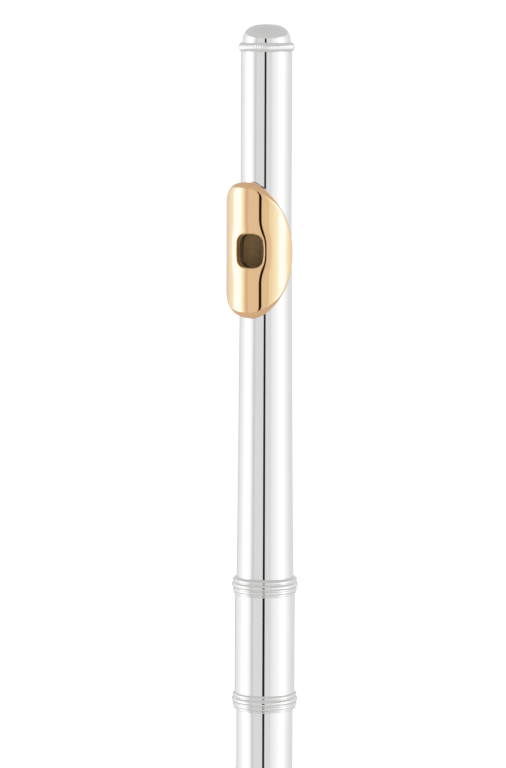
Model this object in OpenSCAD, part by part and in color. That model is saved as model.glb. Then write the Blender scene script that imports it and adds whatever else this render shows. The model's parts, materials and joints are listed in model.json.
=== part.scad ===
// Concert flute in C: head joint, body and foot joint with closed-hole Boehm keywork.
// The tube stands along +Z with the open foot end at the origin. The embouchure hole faces -Y.
// The player's side is -X and the audience's side is +X. Angles round the tube start at -Y
// and grow towards +X. A key is drawn closed and then turned on its hinge to its rest pose.

/* [Tubes] */
// Length of the ideal air column, which places every tone hole
air_column = 659.4; // [658:0.1:661]
// Bore diameter of the body and foot
bore_d = 19; // [18.9:0.05:19.1]
// Wall thickness of every tube
tube_wall = 0.4; // [0.36:0.01:0.42]
// Outer diameter of the head joint from the lip plate to the crown
head_od = 17.7; // [17.6:0.05:17.8]
// Outer diameter of the barrel and of the foot socket
sleeve_od = 21; // [20.9:0.05:21.2]
// Height of the barrel's lower end
barrel_z0 = 433.3; // [433:0.1:433.6]
// Height of the barrel's upper end
barrel_z1 = 479.5; // [479:0.1:480]
// Height of the head joint's crown end
head_top = 660.6; // [660.4:0.1:661]

/* [Embouchure] */
// Height of the embouchure hole's centre
embouchure_z = 593.2; // [592.8:0.1:594]
// Half the embouchure hole's width across the tube
mouth_half_w = 5.3; // [5.2:0.05:5.4]
// Half the embouchure hole's length along the tube
mouth_half_l = 5.85; // [5.7:0.05:6]
// Radius of the lip plate's outer face
lip_r = 12.2; // [12.1:0.05:12.4]
// Half the lip plate's length along the tube
lip_half_l = 23.3; // [23:0.1:23.6]
// Thickness of the lip plate
lip_t = 0.8; // [0.7:0.05:0.85]

/* [Keywork] */
// Height of the tone hole rims above the tube's axis
rim_u = 11.7; // [11.6:0.05:11.8]
// Distance of a hinge from the tube's axis, measured across the tone hole
hinge_x = 13.2; // [13.1:0.05:13.4]
// Distance of a hinge from the tube's axis, measured along the tone hole
hinge_u = 12.3; // [12.2:0.05:12.4]
// Radius of the hinge steels
steel_r = 1.1; // [1:0.05:1.15]
// Angle by which a sprung key stands open
open_turn = 10.5; // [9:0.5:11]
// Turn of the foot joint's keys round the tube
foot_a = 40; // [38:1:42]
// Turn of the thumb keys round the tube
thumb_a = -160; // [-162:1:-158]
// Turn of the G sharp key round the tube
g_sharp_a = 142; // [141:1:144]
// Turn of the trill keys round the tube
trill_a = -105; // [-106:1:-104]

/* [Hidden] */
$fn = 48;
bore_r = bore_d / 2;
tube_r = bore_r + tube_wall;
sleeve_r = sleeve_od / 2;
head_r = head_od / 2;
head_bore_r = head_r - tube_wall;
slip = 0.04;                    // radial clearance of a tenon in its socket
run = 0.03;                     // radial clearance of a hinge tube on its steel
hinge_r = 2.1;                  // outer radius of a hinge tube
small_shift = 9;                // how far small holes sit above their scale place
large_foot_r = 7.6;
large_low_r = 7.1;
large_high_r = 6.65;
small_r = 3.4;
cup_margin = 2;                 // how far a cup reaches past its tone hole
rim_wall = 0.35;
foot_tube_top = 115.9;
foot_socket_z0 = 113.5;
foot_socket_z1 = 127.3;
body_tube_z0 = 116.7;
body_tube_top = 441;
tenon_z0 = 444;                 // lower end of the head joint, drawn out 3 mm for tuning
rib_t = 0.8;
trill_hinge = [-16.73, -6.09];
main_hinge = [-hinge_x, -hinge_u];
key_silver = [0.84, 0.84, 0.85];

function hole_z(n) = air_column * (1 - pow(2, -n / 12));
function small_z(n) = hole_z(n) + small_shift;
function sgn_pow(x, p) = sign(x) * pow(abs(x), p);
function polar_point(r, a) = [r * sin(a), -r * cos(a)];
function turned(p, a) = [p.x * cos(a) - p.y * sin(a), p.x * sin(a) + p.y * cos(a)];

// ---- shared shapes ----

// A piece drawn on a tone hole: its +Z leaves the tube and its origin is the rim's centre.
module on_rim(z, a = 0) {
    rotate([0, 0, a]) translate([0, -rim_u, z]) rotate([90, 0, 0]) children();
}

module hole_cut(z, a, r) {
    rotate([0, 0, a]) translate([0, 0, z]) rotate([90, 0, 0]) cylinder(r = r, h = 20);
}

// The outside of a drawn tone hole with its rolled rim.
module chimney(z, a, r) {
    rotate([0, 0, a]) translate([0, 0, z]) rotate([90, 0, 0]) {
        cylinder(r = r + rim_wall, h = rim_u);
        translate([0, 0, rim_u - 0.5]) cylinder(r = r + rim_wall + 0.25, h = 0.5);
    }
}

// Three turned beads round a sleeve, the middle one the largest.
module beads(r, z, up = 1) {
    difference() {
        rotate_extrude() {
            translate([r - 0.2, z]) circle(r = 1.2);
            translate([r - 0.1, z - up * 1.75]) circle(r = 0.8);
            translate([r - 0.1, z + up * 1.75]) circle(r = 0.8);
            translate([r - 0.1, z - up * 2.9]) circle(r = 0.45);
        }
        translate([0, 0, z - 5]) cylinder(r = r, h = 10);
    }
}

// A rib soldered along the tube, between two angles round it.
module rib(a0, a1, z0, z1) {
    rotate([0, 0, a0 - 90]) rotate_extrude(angle = a1 - a0)
        translate([tube_r, z0]) square([rib_t, z1 - z0]);
}

module rod_between(p, q, z, r1, r2) {
    d = q - p;
    translate([p.x, p.y, z]) rotate([0, 0, atan2(d.y, d.x)]) rotate([0, 90, 0])
        cylinder(r1 = r1, r2 = r2, h = norm(d));
}

// A post on a rib: flange, tapered stem and a drilled ball that holds a steel.
module post(hinge, base_a, z) {
    base = polar_point(tube_r + rib_t, base_a);
    way = (hinge - base) / norm(hinge - base);
    difference() {
        union() {
            rod_between(base - 2 * way, base + 1.2 * way, z, 2.4, 1.5);
            rod_between(base - 1.5 * way, hinge - (steel_r + run + 0.25) * way, z, 1.35, 1.1);
        }
        translate([0, 0, z - 10]) cylinder(r = tube_r + rib_t, h = 20);
    }
    translate([hinge.x, hinge.y, z]) rotate_extrude() intersection() {
        circle(r = 2.6);
        translate([steel_r + run, -2.2]) square([3, 4.4]);
    }
}

module steel(hinge, z0, z1) {
    translate([hinge.x, hinge.y, z0]) cylinder(r = steel_r, h = z1 - z0);
}

// A straight needle spring under a hinge tube.
module needle(hinge, z0, z1) {
    inner = hinge * ((norm(hinge) - 3.1) / norm(hinge));
    translate([inner.x, inner.y, z0]) cylinder(r = 0.3, h = z1 - z0);
}

// ---- key shapes, drawn with the tone hole facing -Y ----

module turn_about(hinge, angle) {
    translate([hinge.x, hinge.y, 0]) rotate([0, 0, angle])
        translate([-hinge.x, -hinge.y, 0]) children();
}

// Keys of the main line stand open; so do the thumb keys, whose hinge is on the other side.
module open_main(a = 0) { rotate([0, 0, a]) turn_about(main_hinge, -open_turn) children(); }
module open_thumb() {
    rotate([0, 0, thumb_a]) mirror([1, 0, 0]) turn_about(main_hinge, -open_turn) children();
}
module closed_at(a) { rotate([0, 0, a]) children(); }

module cup(r, z) {
    on_rim(z) rotate_extrude() polygon([
        [0, 2.8], [r - 0.5, 2.8], [r - 0.5, 0.9], [r, 0.9], [r, 2.9],
        [r - 0.5, 3.4], [r - 2, 3.4], [r - 2.4, 3.2], [0, 3.2]
    ]);
}

module pad(r, z) {
    on_rim(z) translate([0, 0, 0.1]) cylinder(r = r - 0.55, h = 2.65);
}

module hinge_tube(z0, z1) {
    translate([-hinge_x, -hinge_u, z0]) cylinder(r = hinge_r, h = z1 - z0);
}

module hinge_bore() {
    translate([-hinge_x, -hinge_u, 0]) cylinder(r = steel_r + run, h = 500);
}

// The shape seen along the tube, given as [x, u] points, over a length of the tube.
module side_shape(points, z0, z1) {
    translate([0, 0, z0]) linear_extrude(z1 - z0) polygon([for (p = points) [p.x, -p.y]]);
}

// The shape seen from above the key, given as [x, z] points.
module top_shape(points) {
    translate([0, -8, 0]) rotate([90, 0, 0]) linear_extrude(14) polygon(points);
}

// A pointed arm that runs over the cup to its centre.
module pointed_arm(z) {
    intersection() {
        side_shape([[-14.8, 12.6], [-14.6, 14.2], [-12.6, 15.6], [-9.6, 16], [-1.2, 15.8],
            [0.8, 15.3], [0.8, 14.7], [-8.2, 15], [-10.4, 14.3], [-11.4, 12.8]], z - 3, z + 3);
        top_shape([[-15.3, z - 2], [-9.5, z - 1.5], [0, z - 0.45], [0.8, z],
            [0, z + 0.45], [-9.5, z + 1.5], [-15.3, z + 2]]);
    }
}

// A forked arm that ends on the side of a cup with a plain top.
module forked_arm(z, r) {
    difference() {
        intersection() {
            side_shape([[-14.8, 12.6], [-14.5, 14], [-12.8, 15], [-r + 3, 15],
                [-r + 3, 13.4], [-11.2, 13.2], [-11.2, 12.6]], z - 5, z + 5);
            top_shape([[-15.3, z - 2], [-r + 1.4, z - 4.6], [-r + 1.4, z - 2.2], [-r - 1.6, z],
                [-r + 1.4, z + 2.2], [-r + 1.4, z + 4.6], [-15.3, z + 2]]);
        }
        on_rim(z) cylinder(r = r - 0.45, h = 5);
    }
}

// The lug of a driving key lies over the lug of the key that it takes with it.
module driving_lug(z, dir = 1) {
    side_shape([[-12.9, 13], [-12.9, 16], [-10.4, 16], [-10.4, 13.4]],
        min(z - dir * 3.4, z - dir * 0.2), max(z - dir * 3.4, z - dir * 0.2));
    side_shape([[-12.9, 15], [-12.9, 16], [-10.4, 16], [-10.4, 15]],
        min(z - dir * 3.4, z + dir * 3.2), max(z - dir * 3.4, z + dir * 3.2));
}
module driven_lug(z, dir = 1) {
    side_shape([[-12.9, 13], [-12.9, 14.93], [-10.4, 14.93], [-10.4, 13.4]],
        min(z + dir * 0.3, z + dir * 3), max(z + dir * 0.3, z + dir * 3));
}

// A band that follows the tube's curve on the hinge's other side. The angles start at the hinge.
module curved_band(a0, a1, z0, z1, inset = 0) {
    hinge_angle = -atan(hinge_x / hinge_u);
    rotate([0, 0, hinge_angle - a1 - 90]) rotate_extrude(angle = a1 - a0)
        translate([norm(main_hinge) + 0.5 + inset, z0]) square([1.2 - 2 * inset, z1 - z0]);
}

// A rounded touch cut out of such a band.
module curved_touch(a0, a1, z0, z1, w) {
    hinge_angle = -atan(hinge_x / hinge_u);
    intersection() {
        curved_band(a0, a1, z0, z1);
        rotate([0, 0, hinge_angle - (a0 + a1) / 2]) translate([0, 0, (z0 + z1) / 2])
            rotate([90, 0, 0]) linear_extrude(30) touch_outline(w, z1 - z0);
    }
}

// A rounded oblong, seen from above.
module touch_outline(w, l) {
    s = 2.4;
    polygon([for (q = [0:3], k = [0:5])
        let (a = q * 90 + k * 18,
            cx = (q == 0 || q == 3 ? 1 : -1) * (w / 2 - s),
            cy = (q < 2 ? 1 : -1) * (l / 2 - s))
        [cx + s * cos(a), cy + s * sin(a)]]);
}

module flat_touch(x, z, w, l, u, t) {
    translate([x, -u, z]) rotate([90, 0, 0]) linear_extrude(t) touch_outline(w, l);
}

module key_body(z0, z1) {
    difference() {
        union() {
            hinge_tube(z0, z1);
            children();
        }
        hinge_bore();
    }
}

// ---- head joint ----

function head_profile_r(z) =
    z > 606 ? head_r
    : z > 484 ? head_r + (tube_r - 0.06 - head_r) * pow((606 - z) / 122, 1.05)
    : tube_r;

module head_tube() {
    levels = [tenon_z0, 482, 484, 500, 515, 530, 545, 560, 575, 590, 606, head_top];
    outer = [for (z = levels) [head_profile_r(z), z]];
    inner = [for (i = [len(levels) - 1:-1:0]) [head_profile_r(levels[i]) - tube_wall, levels[i]]];
    color(key_silver) difference() {
        rotate_extrude() polygon(concat(outer, inner));
        translate([0, 0, embouchure_z]) rotate([90, 0, 0]) linear_extrude(12) mouth(0);
    }
}

mouth_pow = 0.64;               // how square the embouchure hole is; 1 would be an ellipse

// Outline of the embouchure hole, a rounded oblong, widened by e.
module mouth(e) {
    polygon([for (i = [0:35]) let (a = i * 10)
        [(mouth_half_w + e) * sgn_pow(cos(a), mouth_pow), (mouth_half_l + e) * sgn_pow(sin(a), mouth_pow)]]);
}

lip_centre = [-1.15, -1.15];    // axis of the lip plate's curve

module riser() {
    color("goldenrod") difference() {
        intersection() {
            translate([0, 0, embouchure_z]) rotate([90, 0, 0]) linear_extrude(14) mouth(1.1);
            translate([lip_centre.x, lip_centre.y, embouchure_z - 20])
                cylinder(r = lip_r - lip_t - lip_dip - 0.03, h = 40);
        }
        translate([0, 0, embouchure_z]) rotate([90, 0, 0]) linear_extrude(15) mouth(0);
        translate([0, 0, embouchure_z - 20]) cylinder(r = head_profile_r(embouchure_z - 9), h = 40);
    }
}

// The lip plate is a grid of rings from the mouth hole's edge out to its own edge.
lip_steps = 60;
lip_rings = 10;
lip_near = 100;                 // degrees that the plate reaches on the player's side
lip_far = 89;                   // degrees that the plate reaches on the audience's side
lip_roll = 1.1;                 // how far the edge rolls down towards the tube at its sides
lip_t_end = 1.2;                // how much thicker the rim is at the plate's two ends
lip_roll_end = 1.1;             // how much further it rolls down at its two ends
lip_lean = 1.2;                 // how far the player's side sits up, and the far side down
lip_dip = 0.38;                 // how far the plate falls at the mouth hole's edge
function lip_edge(a) =
    let (near = cos(a) > 0, p = near ? 2.3 : 1.67)
    [(near ? lip_near : lip_far) * sgn_pow(cos(a), 2 / p), lip_half_l * sgn_pow(sin(a), 2 / p)];
function lip_hole(a) =
    [asin(mouth_half_w * sgn_pow(cos(a), mouth_pow) / lip_r), mouth_half_l * sgn_pow(sin(a), mouth_pow)];
function lip_drop(a, s) =
    let (k = max(0, (s - 0.84) / 0.16), roll = lip_roll + lip_roll_end * pow(sin(a), 2))
    roll * (1 - sqrt(1 - min(1, k * k) * 0.98)) + lip_dip * pow(max(0, 1 - s / 0.3), 2);
function lip_inset(i, j) =
    lip_t + lip_t_end * pow(sin(i * 360 / lip_steps), 4) * max(0, (j / lip_rings - 0.84) / 0.16);
function lip_point(i, j, inset) =
    let (a = i * 360 / lip_steps, s = j / lip_rings,
        q = lip_hole(a) * (1 - s) + lip_edge(a) * s,
        r = lip_r - lip_drop(a, s) - inset,
        z = embouchure_z + q.y + lip_lean * q.x / 90 * s * s)
    [lip_centre.x - r * sin(q.x), lip_centre.y - r * cos(q.x), z];

module lip_plate() {
    rings = lip_rings + 1;
    points = concat(
        [for (i = [0:lip_steps - 1], j = [0:lip_rings]) lip_point(i, j, 0)],
        [for (i = [0:lip_steps - 1], j = [0:lip_rings]) lip_point(i, j, lip_inset(i, j))]);
    function id(i, j, side) = side * lip_steps * rings + (i % lip_steps) * rings + j;
    top = [for (i = [0:lip_steps - 1], j = [0:lip_rings - 1])
        [id(i, j, 0), id(i, j + 1, 0), id(i + 1, j + 1, 0), id(i + 1, j, 0)]];
    under = [for (i = [0:lip_steps - 1], j = [0:lip_rings - 1])
        [id(i, j, 1), id(i + 1, j, 1), id(i + 1, j + 1, 1), id(i, j + 1, 1)]];
    hole = [for (i = [0:lip_steps - 1]) [id(i, 0, 0), id(i + 1, 0, 0), id(i + 1, 0, 1), id(i, 0, 1)]];
    edge = [for (i = [0:lip_steps - 1]) [id(i, lip_rings, 0), id(i, lip_rings, 1),
        id(i + 1, lip_rings, 1), id(i + 1, lip_rings, 0)]];
    quads = concat(top, under, hole, edge);
    triangles = [for (q = quads, k = [0, 1]) k == 0 ? [q[0], q[1], q[2]] : [q[0], q[2], q[3]]];
    color("gold") polyhedron(points = points, faces = triangles);
}

crown_z = head_top + 0.1;

module crown() {
    dome_r = 8.4;
    dome_z = crown_z + 1.7;
    dome_h = 7.65;
    dome = [for (k = [0:9]) let (a = k * 9)
        [dome_r * pow(cos(a), 0.7), dome_z + dome_h * pow(sin(a), 0.7)]];
    tip = [[0.6, dome_z + dome_h], [0, dome_z + dome_h]];
    color(key_silver) difference() {
        rotate_extrude() polygon(concat([
            [0, crown_z - 5.5], [head_bore_r - 0.25, crown_z - 5.5], [head_bore_r - 0.25, crown_z],
            [head_r, crown_z], [head_r, crown_z + 1.6], [dome_r, crown_z + 1.6]], dome, tip));
        translate([0, 0, crown_z - 6]) cylinder(r = 2 + run, h = 11);
    }
}

module crown_ring() {
    color(key_silver) difference() {
        rotate_extrude() translate([head_r - 0.4, crown_z + 1.5]) circle(r = 1.3);
        translate([0, 0, crown_z - 2]) cylinder(r = head_r, h = 5);
        translate([0, 0, crown_z - 5]) cylinder(r = 15, h = 5);
    }
}

reflector_z = embouchure_z + 17.3;

module stopper_reflector() {
    color(key_silver) translate([0, 0, reflector_z]) cylinder(r = head_bore_r - 0.08, h = 2);
}
module stopper_cork() {
    color("peru") difference() {
        translate([0, 0, reflector_z + 2]) cylinder(r = head_bore_r - 0.05, h = 15);
        translate([0, 0, reflector_z]) cylinder(r = 2, h = 20);
    }
}
module stopper_nut() {
    color(key_silver) difference() {
        translate([0, 0, reflector_z + 17]) cylinder(r = head_bore_r - 0.3, h = 2.5);
        translate([0, 0, reflector_z + 15]) cylinder(r = 2, h = 8);
    }
}
module stopper_rod() {
    color(key_silver) translate([0, 0, reflector_z + 2])
        cylinder(r = 2, h = crown_z + 3 - reflector_z - 2);
}

// ---- body ----

// Each row is the hole's height, its turn round the tube and its radius.
body_holes = [
    [hole_z(4), 0, large_low_r], [hole_z(5), 0, large_low_r], [hole_z(6), 0, large_low_r],
    [hole_z(7), 0, large_low_r], [hole_z(8), 0, large_high_r], [hole_z(9), 0, large_high_r],
    [hole_z(10), 0, large_high_r], [hole_z(11), 0, large_high_r], [small_z(13), 0, small_r],
    [hole_z(12), thumb_a, large_high_r], [hole_z(8), g_sharp_a, large_high_r],
    [small_z(14), trill_a, small_r], [small_z(15), trill_a, small_r]
];
foot_holes = [for (n = [1:3]) [hole_z(n), foot_a, large_foot_r]];

module drilled_tube(z0, z1, holes) {
    color(key_silver) difference() {
        union() {
            translate([0, 0, z0]) cylinder(r = tube_r, h = z1 - z0);
            for (h = holes) chimney(h[0], h[1], h[2]);
        }
        translate([0, 0, z0 - 1]) cylinder(r = bore_r, h = z1 - z0 + 2);
        for (h = holes) hole_cut(h[0], h[1], h[2]);
    }
}

module body_tube() { drilled_tube(body_tube_z0, body_tube_top, body_holes); }

module barrel() {
    color(key_silver) difference() {
        translate([0, 0, barrel_z0]) cylinder(r = sleeve_r, h = barrel_z1 - barrel_z0);
        translate([0, 0, barrel_z0 - 1]) cylinder(r = tube_r, h = 100);
        translate([0, 0, body_tube_top]) cylinder(r = tube_r + slip, h = 100);
    }
}

module barrel_rings() {
    color(key_silver) {
        beads(sleeve_r, barrel_z1 - 2.9, 1);
        beads(sleeve_r, barrel_z0 + 2.9, 1);
    }
}

module main_rib() { color(key_silver) rib(-84, -54, 127.6, 411); }

module back_ribs() {
    color(key_silver) {
        rib(-111, -97, 280, 351);
        rib(g_sharp_a - 62, g_sharp_a - 49, 233, 267);
    }
}

main_posts = [130.2, 172.5, 232, 322, 366];
trill_posts = [143.5, 172.5, 384.6, 401.5];
thumb_posts = [283.5, 347];
g_sharp_posts = [236.3, 263.7];
thumb_hinge = turned([hinge_x, -hinge_u], thumb_a);
g_sharp_hinge = turned(main_hinge, g_sharp_a);

module body_posts() {
    color(key_silver) {
        for (z = main_posts) post(main_hinge, -59, z);
        for (z = trill_posts) post(trill_hinge, -77, z);
        for (z = thumb_posts) post(thumb_hinge, -105, z);
        for (z = g_sharp_posts) post(g_sharp_hinge, g_sharp_a - 55, z);
    }
}

module body_steels() {
    color("silver") {
        steel(main_hinge, 128.2, 231.95);
        steel(main_hinge, 232.05, 368.2);
        steel(thumb_hinge, 281.5, 349);
        steel(g_sharp_hinge, 234.3, 265.7);
    }
}

module body_springs() {
    color("goldenrod") {
        for (s = [[132, 141], [158, 171.5], [173.5, 177.2], [213, 231], [233, 250],
            [282.6, 292.6], [302.5, 321], [323, 340]]) needle(main_hinge, s[0], s[1]);
        needle(thumb_hinge, 284.5, 300);
        needle(thumb_hinge, 336, 346);
        needle(g_sharp_hinge, 250, 262.7);
    }
}

// ---- body keys ----

low_cup_r = large_low_r + cup_margin;
high_cup_r = large_high_r + cup_margin;
small_cup_r = small_r + cup_margin - 0.1;
d_z = hole_z(4);
e_z = hole_z(5);
f_z = hole_z(6);
f_sharp_z = hole_z(7);
g_low_z = hole_z(8);
g_high_z = hole_z(9);
a_z = hole_z(10);
b_flat_z = hole_z(11);
thumb_z = hole_z(12);
c_sharp_z = small_z(13);
trill_d_z = small_z(14);
trill_d_sharp_z = small_z(15);

module low_d_key() {
    color(key_silver) open_main() key_body(133.9, 149.8) {
        cup(low_cup_r, d_z);
        forked_arm(d_z, low_cup_r);
    }
}
module low_d_pad() { color("wheat") open_main() pad(low_cup_r, d_z); }

module low_e_key() {
    color(key_silver) open_main() key_body(150, 169.8) {
        cup(low_cup_r, e_z);
        forked_arm(e_z, low_cup_r);
    }
}
module low_e_pad() { color("wheat") open_main() pad(low_cup_r, e_z); }

module low_f_key() {
    color(key_silver) open_main() key_body(175.2, 206) {
        cup(low_cup_r, f_z);
        forked_arm(f_z, low_cup_r);
        driving_lug(206.1);
    }
}
module low_f_pad() { color("wheat") open_main() pad(low_cup_r, f_z); }

module f_sharp_key() {
    color(key_silver) open_main() key_body(206.2, 229.3) {
        cup(low_cup_r, f_sharp_z);
        pointed_arm(f_sharp_z);
        driven_lug(206.1);
    }
}
module f_sharp_pad() { color("wheat") open_main() pad(low_cup_r, f_sharp_z); }

module g_key() {
    color(key_silver) open_main() key_body(234.7, 277.6) {
        cup(high_cup_r, g_low_z);
        pointed_arm(g_low_z);
        cup(high_cup_r, g_high_z);
        forked_arm(g_high_z, high_cup_r);
    }
}
module g_pads() {
    color("wheat") open_main() {
        pad(high_cup_r, g_low_z);
        pad(high_cup_r, g_high_z);
    }
}

module a_key() {
    color(key_silver) open_main() key_body(277.8, 299.6) {
        cup(high_cup_r, a_z);
        forked_arm(a_z, high_cup_r);
        driving_lug(299.7);
    }
}
module a_pad() { color("wheat") open_main() pad(high_cup_r, a_z); }

module b_flat_key() {
    color(key_silver) open_main() key_body(299.8, 319.3) {
        cup(high_cup_r, b_flat_z);
        pointed_arm(b_flat_z);
        driven_lug(299.7);
    }
}
module b_flat_pad() { color("wheat") open_main() pad(high_cup_r, b_flat_z); }

c_touch_z = 333.4;
c_touch_r = 6.2;
module c_key() {
    color(key_silver) open_main() key_body(324.7, 363.3) {
        cup(small_cup_r, c_sharp_z);
        pointed_arm(c_sharp_z);
        on_rim(c_touch_z) translate([0, 0, 2.4]) rotate_extrude() polygon([
            [0, 0], [c_touch_r - 0.6, 0], [c_touch_r, 0.5], [c_touch_r - 0.4, 1.2],
            [c_touch_r - 1.8, 1.1], [0.6, 0.7], [0, 0.7]]);
        side_shape([[-14.8, 12.6], [-14.5, 14], [-12.8, 15], [-4, 15], [-4, 14.2],
            [-11.2, 13.2], [-11.2, 12.6]], c_touch_z - 1.6, c_touch_z + 1.6);
    }
}
module c_key_pad() { color("wheat") open_main() pad(small_cup_r, c_sharp_z); }

module thumb_b_key() {
    color(key_silver) open_thumb() key_body(303.2, 344.5) {
        cup(high_cup_r, thumb_z);
        pointed_arm(thumb_z);
        flat_touch(-1, 311.2, 12.6, 14.4, 15, 1.2);
        side_shape([[-14.8, 12.6], [-14.5, 14.2], [-12.6, 16], [-6, 16.1], [-6, 15.1],
            [-11.2, 13.4], [-11.2, 12.6]], 308.4, 313.6);
        driven_lug(303.1);
    }
}
module thumb_b_pad() { color("wheat") open_thumb() pad(high_cup_r, thumb_z); }

module thumb_b_flat_lever() {
    color(key_silver) open_thumb() key_body(286, 303) {
        flat_touch(-1, 296, 11, 12.6, 15, 1.2);
        side_shape([[-14.8, 12.6], [-14.5, 14.2], [-12.6, 16], [-6, 16.1], [-6, 15.1],
            [-11.2, 13.4], [-11.2, 12.6]], 292.4, 297.2);
        driving_lug(303.1);
    }
}

module g_sharp_key() {
    color(key_silver) closed_at(g_sharp_a) key_body(239, 261) {
        cup(high_cup_r, g_low_z);
        pointed_arm(g_low_z);
        curved_touch(-2, 42, 246.5, 260.5, 14);
    }
}
module g_sharp_pad() { color("wheat") closed_at(g_sharp_a) pad(high_cup_r, g_low_z); }

// A trill key's lever passes under the main hinge and rises between two cups.
module trill_lever(z) {
    side_shape([[-17.6, 5.2], [-15.8, 5.6], [-13, 7.8], [-9.9, 8.7], [-7.8, 11.8], [-6.2, 14.4],
        [-6.2, 15.6], [-7.6, 15.4], [-9.4, 12.6], [-10.8, 10.3], [-13.8, 9.3], [-16.8, 7.4]],
        z - 1.5, z + 1.5);
    flat_touch(-1.2, z, 11, 6.4, 14.6, 1.2);
}

// The short arm of a trill cup, in the frame of its tone hole.
module trill_cup(z) {
    closed_at(trill_a) {
        cup(small_cup_r, z);
        intersection() {
            side_shape([[11.4, 14.4], [10.6, 16], [8, 16.3], [0.6, 15.7], [-0.8, 15.2],
                [-0.8, 14.7], [4.6, 15], [8.4, 14.2]], z - 3, z + 3);
            top_shape([[12, z - 2], [5, z - 1.3], [0, z - 0.45], [-0.8, z],
                [0, z + 0.45], [5, z + 1.3], [12, z + 2]]);
        }
    }
}

module trill_d_key() {
    touch_z = (e_z + f_z) / 2;
    color(key_silver) difference() {
        union() {
            translate([trill_hinge.x, trill_hinge.y, 175.2]) cylinder(r = hinge_r, h = 206.6);
            trill_lever(touch_z);
            trill_cup(trill_d_z);
        }
        translate([trill_hinge.x, trill_hinge.y, 100]) cylinder(r = steel_r + run, h = 400);
    }
}
module trill_d_pad() { color("wheat") closed_at(trill_a) pad(small_cup_r, trill_d_z); }

module trill_d_sharp_key() {
    color(key_silver) {
        translate([trill_hinge.x, trill_hinge.y, 141.6]) cylinder(r = steel_r, h = 261.8);
        translate([trill_hinge.x, trill_hinge.y, 146.4]) cylinder(r = hinge_r, h = 9);
        translate([trill_hinge.x, trill_hinge.y, 387.4]) cylinder(r = hinge_r, h = 11.3);
        trill_lever((d_z + e_z) / 2);
        trill_cup(trill_d_sharp_z);
    }
}
module trill_d_sharp_pad() { color("wheat") closed_at(trill_a) pad(small_cup_r, trill_d_sharp_z); }

// ---- foot joint ----

foot_cup_r = large_foot_r + cup_margin;
foot_hinge = turned(main_hinge, foot_a);
foot_c_z = hole_z(1);
foot_c_sharp_z = hole_z(2);
foot_d_sharp_z = hole_z(3);
foot_post_z = [24.4, 93.4, 110.8];
touch_u = 16.8;                 // underside of the low C and C sharp touches
roller_r = 1.55;
roller_u = 17.4;
roller_pin_r = 0.5;
c_sharp_roller_x = -1.9;
c_roller_x = 2;

module foot_tube() { drilled_tube(0, foot_tube_top, foot_holes); }

module foot_socket() {
    color(key_silver) difference() {
        translate([0, 0, foot_socket_z0]) cylinder(r = sleeve_r, h = foot_socket_z1 - foot_socket_z0);
        translate([0, 0, foot_socket_z0 - 1]) cylinder(r = tube_r, h = 30);
        translate([0, 0, foot_tube_top]) cylinder(r = tube_r + slip, h = 30);
    }
}

module foot_rings() {
    color(key_silver) {
        beads(sleeve_r, foot_socket_z1 - 2.9, 1);
        difference() {
            rotate_extrude() {
                translate([tube_r, 0]) square([0.9, 4.4]);
                translate([tube_r + 0.6, 1.4]) circle(r = 1.1);
                translate([tube_r + 0.4, 3.6]) circle(r = 0.8);
            }
            translate([0, 0, -1]) cylinder(r = tube_r, h = 8);
            translate([0, 0, -5]) cylinder(r = 20, h = 5);
        }
    }
}

module foot_rib() { color(key_silver) rib(foot_a - 80, foot_a - 59, 22, 113.2); }

module foot_posts() {
    color(key_silver) for (z = foot_post_z) post(foot_hinge, foot_a - 66, z);
}

module foot_steel() { color("silver") steel(foot_hinge, 22.3, 112.9); }

module foot_springs() {
    color("goldenrod") {
        needle(foot_hinge, 25.4, 40);
        needle(foot_hinge, 78, 92.4);
        needle(foot_hinge, 100, 109.8);
    }
}

module foot_d_sharp_key() {
    color(key_silver) closed_at(foot_a) key_body(95.8, 108.2) {
        cup(foot_cup_r, foot_d_sharp_z);
        pointed_arm(foot_d_sharp_z);
        curved_band(-2, 16, 97.6, 105.6, 0.15);
        curved_touch(10, 53, 96.2, 113.5, 13.4);
    }
}
module foot_d_sharp_pad() { color("wheat") closed_at(foot_a) pad(foot_cup_r, foot_d_sharp_z); }

// Two ears and a pin that carry a roller beside a touch.
module roller_pin(x, z0, z1, ear_x0, ear_x1) {
    for (z = [z0 - 1.2, z1])
        translate([ear_x0, -touch_u - 1.2, z]) cube([ear_x1 - ear_x0, 1.2, 1.2]);
    translate([x, -roller_u, z0 - 1.2]) cylinder(r = roller_pin_r, h = z1 - z0 + 2.4);
}

module foot_c_sharp_key() {
    color(key_silver) open_main(foot_a) key_body(61.1, 90.9) {
        cup(foot_cup_r, foot_c_sharp_z);
        pointed_arm(foot_c_sharp_z);
        side_shape([[-14.4, 12.4], [-13.6, 14.8], [-12, 15.3], [-9, 15.3], [-8.8, 16.9],
            [-6.5, 16.9], [-6.5, 13.4], [-11, 12.9]], 84.2, 90);
        flat_touch(-6.2, 87.5, 5.2, 8.6, touch_u, 1.2);
        roller_pin(c_sharp_roller_x, 84.4, 90.6, -4.6, -1.2);
    }
}
module foot_c_sharp_pad() { color("wheat") open_main(foot_a) pad(foot_cup_r, foot_c_sharp_z); }

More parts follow.
